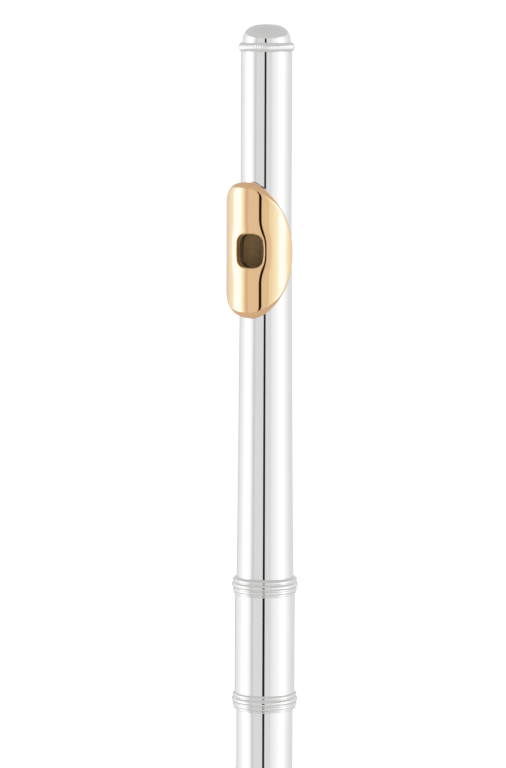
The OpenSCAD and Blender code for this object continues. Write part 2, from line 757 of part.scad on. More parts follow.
module foot_c_key() {
    color(key_silver) open_main(foot_a) key_body(27, 60.9) {
        cup(foot_cup_r, foot_c_z);
        pointed_arm(foot_c_z);
        side_shape([[-14.6, 12.6], [-14, 15.4], [-12.4, 17.9], [-10, 17.9], [-10, 13.4]], 50, 58);
        side_shape([[-12.4, 16.15], [-12.4, 17.9], [-10, 17.9], [-10, 16.15]], 50, 94.2);
        side_shape([[-12.4, touch_u], [-12.4, 17.9], [8, 17.9], [8, touch_u]], 92.6, 94.2);
        flat_touch(6.6, 88.6, 5.4, 11.2, touch_u, 1.2);
        roller_pin(c_roller_x, 84.4, 92.4, 1.4, 5);
    }
}
module foot_c_pad() { color("wheat") open_main(foot_a) pad(foot_cup_r, foot_c_z); }

module roller(x, z0, z1) {
    open_main(foot_a) difference() {
        translate([x, -roller_u, z0]) cylinder(r = roller_r, h = z1 - z0);
        translate([x, -roller_u, z0 - 1]) cylinder(r = roller_pin_r + run, h = z1 - z0 + 2);
    }
}
module c_sharp_roller() { color("gainsboro") roller(c_sharp_roller_x, 84.6, 90.4); }
module c_roller() { color("gainsboro") roller(c_roller_x, 84.6, 92.2); }

crown();
crown_ring();
head_tube();
riser();
lip_plate();
stopper_rod();
stopper_cork();
stopper_reflector();
stopper_nut();
body_tube();
barrel();
barrel_rings();
main_rib();
back_ribs();
body_posts();
body_steels();
body_springs();
low_d_key();
low_d_pad();
low_e_key();
low_e_pad();
low_f_key();
low_f_pad();
f_sharp_key();
f_sharp_pad();
g_key();
g_pads();
g_sharp_key();
g_sharp_pad();
a_key();
a_pad();
b_flat_key();
b_flat_pad();
c_key();
c_key_pad();
thumb_b_key();
thumb_b_pad();
thumb_b_flat_lever();
trill_d_key();
trill_d_pad();
trill_d_sharp_key();
trill_d_sharp_pad();
foot_tube();
foot_socket();
foot_rings();
foot_rib();
foot_posts();
foot_steel();
foot_springs();
foot_d_sharp_key();
foot_d_sharp_pad();
foot_c_sharp_key();
foot_c_sharp_pad();
foot_c_key();
foot_c_pad();
c_sharp_roller();
c_roller();
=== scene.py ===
"""Concert flute: the visual model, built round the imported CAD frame.

Lengths in this file are millimetres unless a name says otherwise; MM turns them into metres.
Angles round the tube start at -Y and grow towards +X, as in the frame.
"""

import json
import math

import bmesh
import bpy
from mathutils import Matrix, Vector


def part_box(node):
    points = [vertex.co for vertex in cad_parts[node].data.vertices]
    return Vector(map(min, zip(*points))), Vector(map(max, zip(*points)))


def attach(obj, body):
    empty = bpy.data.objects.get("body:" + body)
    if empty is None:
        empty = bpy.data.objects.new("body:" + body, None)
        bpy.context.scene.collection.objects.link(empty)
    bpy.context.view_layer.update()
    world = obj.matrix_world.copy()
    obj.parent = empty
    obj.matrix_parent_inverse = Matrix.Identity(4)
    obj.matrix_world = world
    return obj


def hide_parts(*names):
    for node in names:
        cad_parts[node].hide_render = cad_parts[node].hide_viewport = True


MM = 0.001
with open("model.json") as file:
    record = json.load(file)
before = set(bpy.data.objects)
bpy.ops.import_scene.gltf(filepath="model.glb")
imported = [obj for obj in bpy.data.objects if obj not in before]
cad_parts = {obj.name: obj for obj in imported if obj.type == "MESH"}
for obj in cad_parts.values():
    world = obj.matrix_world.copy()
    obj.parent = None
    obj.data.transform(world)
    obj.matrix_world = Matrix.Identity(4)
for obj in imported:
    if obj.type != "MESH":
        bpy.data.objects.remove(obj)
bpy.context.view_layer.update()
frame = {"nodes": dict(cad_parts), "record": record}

# ---- places and sizes: some from the frame's boxes, the rest the CAD's own values ----


def low(node, axis=2):
    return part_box(node)[0][axis] / MM


def high(node, axis=2):
    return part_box(node)[1][axis] / MM


TUBE_R = 9.9
BORE_R = 9.5
WALL = 0.4
AIR_COLUMN = 659.4
SMALL_HOLE_LIFT = 9
SLEEVE_R = high("barrel", 0)
HEAD_R = 8.85
HEAD_TOP = high("head_tube")
HEAD_LOW = low("head_tube")
RIM_U = 11.7
MAIN_HINGE = (-13.2, -12.3)
TRILL_HINGE = (-16.73, -6.09)
HINGE_R = 2.1
STEEL_R = 1.1
STEEL_HOLE_R = STEEL_R + 0.03
OPEN_TURN = 10.5
FOOT_A = 40
THUMB_A = -160
G_SHARP_A = 142
TRILL_A = -105
CAMERA_A = 22.0


def hole_z(n):
    """Height of the tone hole that sounds n semitones above the tube's lowest note."""
    return AIR_COLUMN * (1 - 2 ** (-n / 12))


def small_z(n):
    """The same for a small hole, which sits higher up the tube."""
    return hole_z(n) + SMALL_HOLE_LIFT


# ---- mesh helpers ----


def signed_power(x, p):
    return math.copysign(abs(x) ** p, x)


def full_turn(steps):
    """Even angles once round, in radians."""
    return [2 * math.pi * k / steps for k in range(steps)]


def arc(cx, cz, r, start, end, count):
    """Points on an arc, as (radius, height) pairs."""
    turns = [math.radians(start + (end - start) * k / (count - 1)) for k in range(count)]
    return [(cx + r * math.cos(t), cz + r * math.sin(t)) for t in turns]


def smooth(mesh, sharp_degrees=32):
    mesh.shade_smooth()
    mesh.set_sharp_from_angle(angle=math.radians(sharp_degrees))


def new_object(name, bm, sharp_degrees=32):
    bmesh.ops.recalc_face_normals(bm, faces=bm.faces)
    mesh = bpy.data.meshes.new(name)
    bm.to_mesh(mesh)
    bm.free()
    smooth(mesh, sharp_degrees)
    obj = bpy.data.objects.new(name, mesh)
    bpy.context.scene.collection.objects.link(obj)
    return obj


def add_rings(bm, rings, closed_way=True, closed_path=False):
    """Faces between rings of points; each ring is a closed loop when closed_way is true."""
    rows = [[bm.verts.new(p) for p in ring] for ring in rings]
    count = len(rows[0])
    pairs = list(zip(rows, rows[1:])) + ([(rows[-1], rows[0])] if closed_path else [])
    last = count if closed_way else count - 1
    for a, b in pairs:
        for k in range(last):
            m = (k + 1) % count
            bm.faces.new((a[k], a[m], b[m], b[k]))
    return rows


def add_lathe(bm, outline, steps=160, place=None):
    """Turns (radius, height) points round Z. Ends on the axis become poles; other outlines close."""
    place = place or (lambda p: p)
    poles = [p for p in (outline[0], outline[-1]) if p[0] < 1e-6]
    body = [p for p in outline if p[0] >= 1e-6]
    turns = full_turn(steps)
    rings = [[place(Vector((r * math.cos(t), r * math.sin(t), z)) * MM) for t in turns] for r, z in body]
    rows = add_rings(bm, rings, closed_path=not poles)
    for end, row in ((outline[0], rows[0]), (outline[-1], rows[-1])):
        if end[0] < 1e-6:
            tip = bm.verts.new(place(Vector((0, 0, end[1])) * MM))
            for k in range(steps):
                bm.faces.new((row[k], row[(k + 1) % steps], tip))


def lathe(name, outline, steps=160, sharp_degrees=32):
    bm = bmesh.new()
    add_lathe(bm, outline, steps)
    return new_object(name, bm, sharp_degrees)


def add_prism(bm, outline, z0, z1, place=None):
    """A straight prism over a closed outline of (x, y) points."""
    place = place or (lambda p: p)
    ends = [[bm.verts.new(place(Vector((x, y, z)) * MM)) for x, y in outline] for z in (z0, z1)]
    count = len(outline)
    for k in range(count):
        m = (k + 1) % count
        bm.faces.new((ends[0][k], ends[0][m], ends[1][m], ends[1][k]))
    bm.faces.new(ends[0][::-1])
    bm.faces.new(ends[1])


def cut(obj, tool, operation="DIFFERENCE"):
    """Applies a boolean and deletes the tool."""
    modifier = obj.modifiers.new("cut", "BOOLEAN")
    modifier.operation = operation
    modifier.solver = "EXACT"
    modifier.object = tool
    depsgraph = bpy.context.evaluated_depsgraph_get()
    mesh = bpy.data.meshes.new_from_object(obj.evaluated_get(depsgraph))
    obj.modifiers.clear()
    old = obj.data
    obj.data = mesh
    mesh.name = old.name
    bpy.data.meshes.remove(old)
    bpy.data.objects.remove(tool)


def hang(obj, body, slot, node, material=None):
    """Rides a piece on a body, gives it its slot's material or the one passed, and hides the CAD node that
    it stands for.
    """
    obj.data.materials.clear()
    obj.data.materials.append(material or LOOKS[slot])
    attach(obj, body)
    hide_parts(node)


# ---- materials ----


def node_of(tree, kind, **values):
    node = tree.nodes.new(kind)
    for key, value in values.items():
        if key in node.inputs:
            node.inputs[key].default_value = value
        else:
            setattr(node, key, value)
    return node


def ramp(tree, source, stops):
    """A colour ramp of (position, colour) stops fed by a socket."""
    node = node_of(tree, "ShaderNodeValToRGB")
    elements = node.color_ramp.elements
    elements[0].position, elements[0].color = stops[0][0], rgba(stops[0][1])
    elements[1].position, elements[1].color = stops[-1][0], rgba(stops[-1][1])
    for position, colour in stops[1:-1]:
        elements.new(position).color = rgba(colour)
    tree.links.new(source, node.inputs["Fac"])
    return node


def texture(tree, kind, **values):
    """A node laid out in the object's own coordinates."""
    node = node_of(tree, kind, **values)
    coords = node_of(tree, "ShaderNodeTexCoord")
    tree.links.new(coords.outputs["Object"], node.inputs["Vector"])
    return node


def add_bump(tree, shader, height, strength, depth):
    bump = node_of(tree, "ShaderNodeBump", Strength=strength, Distance=depth * MM)
    tree.links.new(height, bump.inputs["Height"])
    tree.links.new(bump.outputs["Normal"], shader.inputs["Normal"])


def rgba(colour):
    if isinstance(colour, (int, float)):
        return (colour, colour, colour, 1)
    return (*colour, 1)


def new_material(name):
    material = bpy.data.materials.new(name)
    material.use_nodes = True
    tree = material.node_tree
    return material, tree, tree.nodes["Principled BSDF"]


def metal(name, colour, tarnish, rough, scratch, coat=0.0, metallic=1.0):
    """Polished plated metal: fine hand-polish scratches, soft smudges and a breath of tarnish."""
    material, tree, shader = new_material(name)
    shader.inputs["Metallic"].default_value = metallic
    shader.inputs["Coat Weight"].default_value = coat
    shader.inputs["Coat Roughness"].default_value = 0.02
    shader.inputs["Coat IOR"].default_value = 1.9
    smudge = texture(tree, "ShaderNodeTexNoise", Scale=140.0, Detail=5.0, Roughness=0.6)
    tint = ramp(tree, smudge.outputs["Fac"], [(0.35, colour), (0.75, tarnish)])
    tree.links.new(tint.outputs["Color"], shader.inputs["Base Color"])
    gloss = ramp(tree, smudge.outputs["Fac"], [(0.3, rough[0]), (0.8, rough[1])])
    tree.links.new(gloss.outputs["Color"], shader.inputs["Roughness"])
    stretch = texture(tree, "ShaderNodeMapping", Scale=(900.0, 900.0, 10800.0))
    lines = node_of(tree, "ShaderNodeTexNoise", Scale=1.0, Detail=3.0, Roughness=0.7)
    tree.links.new(stretch.outputs["Vector"], lines.inputs["Vector"])
    add_bump(tree, shader, lines.outputs["Fac"], scratch, 0.2)
    return material


# Colour where clean, colour where tarnished, roughness from clean to tarnished, depth of scratches.
SILVER = metal("silver_plate", (0.86, 0.86, 0.855), (0.845, 0.842, 0.832), (0.015, 0.04), 0.004)
KEY_SILVER = metal("key_silver_plate", (0.86, 0.857, 0.85), (0.83, 0.825, 0.81), (0.03, 0.08), 0.008)
GOLD = metal("gold_plate", (0.97, 0.55, 0.255), (0.955, 0.53, 0.24), (0.025, 0.05), 0.003, coat=0.8)
# The bore's warm gold tint is partly silver tarnish and partly a painted reflection of the gold riser.
BORE_TARNISH_AND_REFLECTION = metal("bore_silver_tarnish_and_painted_reflection", (0.97, 0.83, 0.6), (0.9, 0.76, 0.53), (0.4, 0.55), 0.03)
# The riser's dark brown is painted shade: the gold darkened where it lies deep inside the mouth hole.
RISER_PAINTED_SHADE = metal("gold_riser_painted_shade", (0.42, 0.33, 0.22), (0.36, 0.28, 0.18), (0.4, 0.55), 0.03)
# The plate's underside is paler and less metallic than the gold: painted light that lifts its shade and
# its reflection in the tube.
UNDERSIDE_PAINTED_LIGHT = metal("gold_underside_painted_light", (0.95, 0.72, 0.46), (0.9, 0.66, 0.4), (0.4, 0.55), 0.03, metallic=0.35)
STEEL = metal("hinge_steel", (0.62, 0.63, 0.65), (0.55, 0.56, 0.58), (0.12, 0.25), 0.05)
SPRING = metal("spring_wire", (0.75, 0.55, 0.28), (0.6, 0.42, 0.2), (0.15, 0.3), 0.03)


def pad_material():
    material, tree, shader = new_material("pad_membrane")
    shader.inputs["Roughness"].default_value = 0.55
    shader.inputs["Sheen Weight"].default_value = 0.25
    felt = texture(tree, "ShaderNodeTexNoise", Scale=1800.0, Detail=6.0)
    tint = ramp(tree, felt.outputs["Fac"], [(0.3, (0.86, 0.78, 0.6)), (0.7, (0.95, 0.9, 0.78))])
    tree.links.new(tint.outputs["Color"], shader.inputs["Base Color"])
    add_bump(tree, shader, felt.outputs["Fac"], 0.2, 0.1)
    return material


def cork_material():
    material, tree, shader = new_material("natural_cork")
    shader.inputs["Roughness"].default_value = 0.85
    cells = texture(tree, "ShaderNodeTexVoronoi", Scale=700.0)
    pits = texture(tree, "ShaderNodeTexNoise", Scale=260.0, Detail=5.0)
    browns = [(0.35, (0.2, 0.11, 0.05)), (0.5, (0.55, 0.36, 0.2)), (0.8, (0.7, 0.5, 0.3))]
    tint = ramp(tree, pits.outputs["Fac"], browns)
    tree.links.new(tint.outputs["Color"], shader.inputs["Base Color"])
    add_bump(tree, shader, cells.outputs["Distance"], 0.5, 0.3)
    return material


PAD = pad_material()
CORK = cork_material()
LOOKS = {
    "silver": SILVER,
    "key_silver": KEY_SILVER,
    "gold": GOLD,
    "hinge_steel": STEEL,
    "spring_wire": SPRING,
    "roller_metal": KEY_SILVER,
    "pad_skin": PAD,
    "cork": CORK,
}

# ---- head joint ----

EMBOUCHURE_Z = (low("riser") + high("riser")) / 2
MOUTH_HALF_W = 5.3
MOUTH_HALF_L = 5.85
MOUTH_POWER = 0.64
CONE_Z = 606
SOCKET_Z = 484


def head_radius(z):
    if z > CONE_Z:
        return HEAD_R
    if z > SOCKET_Z:
        return HEAD_R + (TUBE_R - 0.06 - HEAD_R) * ((CONE_Z - z) / (CONE_Z - SOCKET_Z)) ** 1.05
    return TUBE_R


def mouth_outline(extra, count=96):
    return [
        (
            (MOUTH_HALF_W + extra) * signed_power(math.cos(t), MOUTH_POWER),
            (MOUTH_HALF_L + extra) * signed_power(math.sin(t), MOUTH_POWER),
        )
        for t in full_turn(count)
    ]


def outward(z, turn=0):
    """Maps a shape drawn with +Z leaving the tube to the tube's side at a height and a turn."""
    turning = Matrix.Rotation(math.radians(turn), 3, "Z")

    def place(p):
        return turning @ Vector((p.x, -p.z, p.y + z * MM))

    return place


def line_bore(tube, outer_radius):
    """Gives a tube's inner wall the duller look of a bore, as a second material whose warm tint is partly
    silver tarnish and partly a painted reflection of the gold riser.
    """
    tube.data.materials.append(BORE_TARNISH_AND_REFLECTION)
    for face in tube.data.polygons:
        c = face.center / MM
        facing = face.normal.x * c.x + face.normal.y * c.y
        if facing < 0 and math.hypot(c.x, c.y) < outer_radius(c.z) - WALL * 0.45:
            face.material_index = 1


def head_tube():
    heights = [HEAD_LOW, 462, 483, 484.5, 586, 601, 612, 630, HEAD_TOP - 1.2]
    heights = sorted(heights + [SOCKET_Z + (CONE_Z - SOCKET_Z) * k / 16 for k in range(1, 17)])
    outer = [(head_radius(z), z) for z in heights] + [(HEAD_R, HEAD_TOP)]
    inner = [(head_radius(z) - WALL, z) for z in reversed(heights + [HEAD_TOP])]
    tube = lathe("head_tube_wall", outer + inner, 256)
    bm = bmesh.new()
    add_prism(bm, mouth_outline(0.0), 4, 12, outward(EMBOUCHURE_Z))
    cut(tube, new_object("mouth_tool", bm))
    smooth(tube.data)
    hang(tube, "head", "silver", "head_tube")
    line_bore(tube, head_radius)


LIP_CENTRE = (-1.15, -1.15)
LIP_R = 12.2
LIP_T = 0.8
LIP_T_END = 1.2
LIP_HALF_L = 23.3
LIP_NEAR = 100
LIP_NEAR_POWER = 2.3
LIP_FAR = 89
LIP_FAR_POWER = 1.67
LIP_RIM_START = 0.84
LIP_ROLL = 1.1
LIP_ROLL_END = 1.1
LIP_DIP = 0.38
LIP_LEAN = 1.2


def lip_edge(t):
    near = math.cos(t) > 0
    reach, power = (LIP_NEAR, LIP_NEAR_POWER) if near else (LIP_FAR, LIP_FAR_POWER)
    across = reach * signed_power(math.cos(t), 2 / power)
    return Vector((across, LIP_HALF_L * signed_power(math.sin(t), 2 / power)))


def lip_hole(t, extra=0.0):
    across = (MOUTH_HALF_W + extra) * signed_power(math.cos(t), MOUTH_POWER)
    along = (MOUTH_HALF_L + extra) * signed_power(math.sin(t), MOUTH_POWER)
    return Vector((math.degrees(math.asin(across / LIP_R)), along))


def rim_share(s):
    """How far a level lies into the plate's rolled rim, from 0 to 1."""
    return max(0.0, (s - LIP_RIM_START) / (1 - LIP_RIM_START))


def lip_drop(t, s):
    part = rim_share(s)
    roll = LIP_ROLL + LIP_ROLL_END * math.sin(t) ** 2
    dip = LIP_DIP * max(0, 1 - s / 0.3) ** 2
    return roll * (1 - math.sqrt(1 - min(1, part * part) * 0.98)) + dip


def lip_inset(t, s):
    """The plate's thickness, which grows along the rim at its two ends."""
    return LIP_T + LIP_T_END * math.sin(t) ** 4 * rim_share(s)


def lip_point(t, s, inset, extra=0.0):
    q = lip_hole(t, extra) * (1 - s) + lip_edge(t) * s
    r = LIP_R - lip_drop(t, s) - inset
    turn = math.radians(q.x)
    height = EMBOUCHURE_Z + q.y + LIP_LEAN * q.x / 90 * s * s
    return Vector((LIP_CENTRE[0] - r * math.sin(turn), LIP_CENTRE[1] - r * math.cos(turn), height)) * MM


def lip_plate():
    """A thin shell from the mouth hole's softened edge out to the rolled outer edge."""
    steps = 216
    levels = [0.012, 0.03, 0.06, 0.1, 0.15, 0.2, 0.26, 0.33, 0.42, 0.52, 0.62, 0.72, 0.8, 0.84]
    levels += [0.86, 0.88, 0.9, 0.92, 0.94, 0.955, 0.97, 0.98, 0.99, 1]
    path = [(0, 0.28), (0, 0.12), (0.003, 0.03)] + [(s, 0) for s in levels]
    path += [(s, None) for s in reversed(levels)] + [(0, None)]
    bm = bmesh.new()
    turns = full_turn(steps)
    rings = []
    for s, inset in path:
        rings.append([lip_point(t, s, lip_inset(t, s) if inset is None else inset) for t in turns])
    add_rings(bm, rings, closed_path=True)
    plate = new_object("lip_plate_shell", bm, 60)
    hang(plate, "head", "gold", "lip_plate")
    plate.data.materials.append(UNDERSIDE_PAINTED_LIGHT)
    # Faces turned towards the tube's axis get the underside material, paler gold painted as light against
    # their shade.
    for face in plate.data.polygons:
        c = face.center / MM
        inward = (LIP_CENTRE[0] - c.x) * face.normal.x + (LIP_CENTRE[1] - c.y) * face.normal.y
        reach = math.hypot(LIP_CENTRE[0] - c.x, LIP_CENTRE[1] - c.y)
        if inward > 0.5 * reach:
            face.material_index = 1


def riser():
    """The chimney between the tube and the plate; its top follows the plate's underside."""
    steps = 96
    turns = full_turn(steps)

    def ring(extra, share):
        points = []
        for t in turns:
            top = lip_point(t, 0, LIP_T - 0.04, extra)
            x = (MOUTH_HALF_W + extra) * signed_power(math.cos(t), MOUTH_POWER)
            foot = -math.sqrt(max(0.1, (HEAD_R - 0.2) ** 2 - x * x))
            points.append(Vector((-x * MM, foot * MM * (1 - share) + top.y * share, top.z)))
        return points

    bm = bmesh.new()
    shares = (0, 0.3, 0.65, 1)
    rings = [ring(0.9, k) for k in shares] + [ring(0.02, k) for k in reversed(shares)]
    add_rings(bm, rings, closed_path=True)
    # The riser's walls get the dark brown of painted shade in place of the plate's gold.
    hang(new_object("riser_wall", bm, 50), "head", "gold", "riser", RISER_PAINTED_SHADE)


CROWN_Z = HEAD_TOP + 0.1
BEAD_Z = CROWN_Z + 1.5


def crown():
    tip = CROWN_Z + 1.7
    turns = [math.radians(a) for a in range(6, 90, 3)]
    dome = [(8.4 * math.cos(t) ** 0.7, tip + 7.65 * math.sin(t) ** 0.7) for t in turns]
    plug = [(2.05, CROWN_Z - 5.4), (8.1, CROWN_Z - 5.4), (8.1, CROWN_Z), (8.78, CROWN_Z)]
    plug += [(8.78, CROWN_Z + 2.6), (8.44, CROWN_Z + 2.75)]
    bore = [(0, CROWN_Z + 5), (2.05, CROWN_Z + 5)]
    outline = bore + plug + dome + [(0.5, tip + 7.65), (0, tip + 7.65)]
    hang(lathe("crown_cap", outline, 192, 40), "crown", "silver", "crown")


def crown_ring():
    """A bead with slanted milling, like a fine rope."""
    bm = bmesh.new()
    strands = 72
    steps = strands * 12
    count = 30
    rings = []
    for around in full_turn(count):
        ring = []
        for turn in full_turn(steps):
            wave = abs(math.cos((strands * turn + 2.6 * math.sin(around)) / 2))
            face = max(0.0, math.cos(around)) ** 0.4
            r = 1.29 - 0.17 * face * (1 - wave)
            out = max(HEAD_R - 0.4 + r * math.cos(around), HEAD_R - 0.05)
            height = BEAD_Z + r * 1.24 * math.sin(around)
            ring.append(Vector((out * math.cos(turn), out * math.sin(turn), height)) * MM)
        rings.append(ring)
    add_rings(bm, rings, closed_path=True)
    hang(new_object("crown_bead", bm, 75), "crown", "silver", "crown_ring")


# ---- barrel, sockets and drilled tubes ----


STACK_INSET = 2.9


def bead_stack(z, up):
    """Outline of three turned beads on a sleeve, from the barrel's side to the free side."""
    r = SLEEVE_R
    points = [(r - 0.3, z - up * 3.4), (r, z - up * 3.35)]
    points += arc(r - 0.1, z - up * 2.9, 0.45, -60 * up, 60 * up, 9)
    points += arc(r - 0.1, z - up * 1.75, 0.8, -50 * up, 50 * up, 13)
    points += arc(r - 0.2, z, 1.2, -55 * up, 55 * up, 19)
    points += arc(r - 0.1, z + up * 1.75, 0.8, -50 * up, 62 * up, 13)
    points += [(r, z + up * 2.7), (r - 0.3, z + up * 2.75)]
    return points


def sleeve(z0, z1):
    """Outline of a sleeve that fits over the tube, with softened ends."""
    outside = [(SLEEVE_R - 0.25, z0), (SLEEVE_R, z0 + 0.25), (SLEEVE_R, z1 - 0.35), (SLEEVE_R - 0.3, z1)]
    return [(TUBE_R + 0.04, z0 + 0.1)] + outside + [(TUBE_R + 0.25, z1), (TUBE_R + 0.05, z1 - 0.3)]


def barrel():
    z0, z1 = low("barrel"), high("barrel")
    hang(lathe("barrel_sleeve", sleeve(z0, z1), 256), "body", "silver", "barrel")
    bm = bmesh.new()
    add_lathe(bm, bead_stack(z1 - STACK_INSET, 1), 256)
    add_lathe(bm, bead_stack(z0 + STACK_INSET, 1), 256)
    hang(new_object("barrel_beads", bm, 60), "body", "silver", "barrel_rings")


def foot_ends():
    z0, z1 = low("foot_socket"), high("foot_socket")
    hang(lathe("foot_socket_sleeve", sleeve(z0, z1), 192), "foot", "silver", "foot_socket")
    bm = bmesh.new()
    add_lathe(bm, bead_stack(z1 - STACK_INSET, 1), 192)
    ring = [(TUBE_R, 0.02), (TUBE_R + 0.55, 0.02)] + arc(TUBE_R + 0.6, 1.4, 1.08, -80, 62, 21)
    ring += arc(TUBE_R + 0.4, 3.6, 0.8, -48, 88, 17) + [(TUBE_R, 4.4)]
    add_lathe(bm, ring, 192)
    hang(new_object("foot_beads", bm, 60), "foot", "silver", "foot_rings")


HOLE_STEPS = 96


def add_chimney(bm, z, turn, r):
    """A drawn tone hole: a fillet off the tube, a straight wall and a rolled rim."""
    place = outward(z, turn)
    turns = full_turn(HOLE_STEPS)

    def saddle(radius, tube_r, lift):
        """A ring of points that follows a round tube's surface."""
        ring = [(radius * math.cos(t), radius * math.sin(t)) for t in turns]
        return [(x, y, math.sqrt(tube_r ** 2 - x * x) + lift) for x, y in ring]

    outer = r + 0.35
    rings = []
    for wide, lift in ((0.85, -0.05), (0.5, 0.08), (0.22, 0.28), (0.06, 0.6), (0.0, 1.0)):
        fillet = saddle(outer + wide, TUBE_R, lift)
        rings.append([(x, y, min(u, RIM_U - 0.62)) for x, y, u in fillet])
    rim = [(outer, RIM_U - 0.6)] + arc(outer - 0.08, RIM_U - 0.29, 0.29, -75, 90, 9)
    rim += [(r + 0.06, RIM_U - 0.02), (r, RIM_U - 0.1)]
    for radius, u in rim:
        rings.append([(radius * math.cos(t), radius * math.sin(t), u) for t in turns])
    mouth = saddle(r, BORE_R, -0.05)
    rings.append([(x, y, max(BORE_R - 0.5, u) + 0.02) for x, y, u in mouth])
    rings.append(mouth)
    add_rings(bm, [[place(Vector(p) * MM) for p in ring] for ring in rings])


def drilled_tube(name, z0, z1, holes, body, node):
    heights = [z0, z0 + 0.15] + [z0 + (z1 - z0) * k / 24 for k in range(1, 24)] + [z1 - 0.15, z1]
    outer = [(TUBE_R - (0.1 if z in (z0, z1) else 0), z) for z in heights]
    tube = lathe(name, outer + [(BORE_R, z) for z in reversed(heights)], 224)
    bm = bmesh.new()
    for z, turn, r in holes:
        circle = [(r * math.cos(t), r * math.sin(t)) for t in full_turn(HOLE_STEPS)]
        add_prism(bm, circle, 3.0, 14.0, outward(z, turn))
    cut(tube, new_object("hole_tool", bm))
    bm = bmesh.new()
    bm.from_mesh(tube.data)
    for z, turn, r in holes:
        add_chimney(bm, z, turn, r)
    bm.to_mesh(tube.data)
    bm.free()
    smooth(tube.data, 35)
    hang(tube, body, "silver", node)
    line_bore(tube, lambda z: TUBE_R)


LOW_R = 7.1
HIGH_R = 6.65
SMALL_R = 3.4
FOOT_R = 7.6
D_Z, E_Z, F_Z, F_SHARP_Z, G_LOW_Z = [hole_z(n) for n in range(4, 9)]
G_HIGH_Z, A_Z, B_FLAT_Z, THUMB_Z = [hole_z(n) for n in range(9, 13)]
C_SHARP_Z, TRILL_D_Z, TRILL_D_SHARP_Z = [small_z(n) for n in (13, 14, 15)]
FOOT_C_Z, FOOT_C_SHARP_Z, FOOT_D_SHARP_Z = [hole_z(n) for n in (1, 2, 3)]


def tubes():
    holes = [(z, 0, LOW_R) for z in (D_Z, E_Z, F_Z, F_SHARP_Z)]
    holes += [(z, 0, HIGH_R) for z in (G_LOW_Z, G_HIGH_Z, A_Z, B_FLAT_Z)]
    holes += [(C_SHARP_Z, 0, SMALL_R), (THUMB_Z, THUMB_A, HIGH_R), (G_LOW_Z, G_SHARP_A, HIGH_R)]
    holes += [(TRILL_D_Z, TRILL_A, SMALL_R), (TRILL_D_SHARP_Z, TRILL_A, SMALL_R)]
    drilled_tube("body_tube_wall", low("body_tube"), high("body_tube"), holes, "body", "body_tube")
    holes = [(z, FOOT_A, FOOT_R) for z in (FOOT_C_Z, FOOT_C_SHARP_Z, FOOT_D_SHARP_Z)]
    drilled_tube("foot_tube_wall", low("foot_tube"), high("foot_tube"), holes, "foot", "foot_tube")


# ---- key shapes: x across the tone hole, u out from the tube's axis, z along the tube ----


def about(point, centre, degrees):
    t = math.radians(degrees)
    dx, dy = point[0] - centre[0], point[1] - centre[1]
    return (
        centre[0] + dx * math.cos(t) - dy * math.sin(t),
        centre[1] + dx * math.sin(t) + dy * math.cos(t),
    )


def key_frame(turn=0, opened=True, mirrored=False):
    """Maps (x, u, z) in millimetres to metres in the row frame."""

    def place(x, u, z):
        point = (x, -u)
        if opened:
            point = about(point, MAIN_HINGE, -OPEN_TURN)
        if mirrored:
            point = (-point[0], point[1])
        point = about(point, (0, 0), turn)
        return Vector((point[0], point[1], z)) * MM

    return place


MAIN = key_frame()
THUMB = key_frame(THUMB_A, mirrored=True)
G_SHARP = key_frame(G_SHARP_A, opened=False)
TRILL_LEVER = key_frame(0, opened=False)
TRILL_CUP = key_frame(TRILL_A, opened=False)
FOOT = key_frame(FOOT_A)
FOOT_CLOSED = key_frame(FOOT_A, opened=False)


def add_turned(bm, place, centre, outline, steps):
    """A lathe about a line through (x, z) that leaves the tube: outline of (radius, u) points."""
    cx, cz = centre
    add_lathe(bm, outline, steps, lambda p: place(cx + p.x / MM, p.z / MM, cz + p.y / MM))


def cup(bm, place, r, z):
    top = [(r - 0.5, RIM_U + 2.8), (r - 0.5, RIM_U + 0.95), (r - 0.4, RIM_U + 0.9)]
    top += [(r - 0.06, RIM_U + 0.92), (r, RIM_U + 1.0)]
    top += arc(r - 0.55, RIM_U + 2.79, 0.55, 0, 80, 9)
    top += [(r - 1.2, RIM_U + 3.35), (r - 1.9, RIM_U + 3.34)]
    top += [(r - 2.25, RIM_U + 3.28), (r - 2.5, RIM_U + 3.2)]
    add_turned(bm, place, (0, z), [(0, RIM_U + 2.8)] + top + [(0, RIM_U + 3.2)], 112)


def pad(bm, place, r, z):
    """A felt disc in its skin, with the seat that the tone hole's rim presses into it."""
    outer = r - 0.56
    seat = r - 2.0
    face = RIM_U + 0.1
    skin = [(0, face + 0.02), (seat - 0.9, face + 0.02), (seat - 0.3, face + 0.14)]
    skin += [(seat + 0.2, face + 0.14), (seat + 0.7, face + 0.02)]
    skin = [p for p in skin if p[0] < outer - 0.4 and p[0] >= 0]
    skin += arc(outer - 0.35, face + 0.37, 0.35, -80, 0, 6) + [(outer, RIM_U + 2.7), (0, RIM_U + 2.7)]
    add_turned(bm, place, (0, z), skin, 96)


def hinge(bm, place, z0, z1, centre=(MAIN_HINGE[0], -MAIN_HINGE[1]), bore=STEEL_HOLE_R):
    """A hinge tube with softened ends, drilled for its steel."""
    r = HINGE_R
    outline = [(bore, z0 + 0.04), (r - 0.16, z0 + 0.03), (r - 0.04, z0 + 0.09), (r, z0 + 0.22)]
    outline += [(r, z1 - 0.22), (r - 0.04, z1 - 0.09), (r - 0.16, z1 - 0.03), (bore, z1 - 0.04)]
    cx, cu = centre
    add_lathe(bm, outline, 36, lambda p: place(cx + p.x / MM, cu + p.y / MM, p.z / MM))


# Section of a bar: across in half widths, and up from its lower face to its upper one.
BAR = [
    (-0.8, 0), (0.8, 0), (1, 0.18), (1, 0.62), (0.9, 0.84), (0.7, 0.96),
    (0.35, 1), (-0.35, 1), (-0.7, 0.96), (-0.9, 0.84), (-1, 0.62), (-1, 0.18),
]


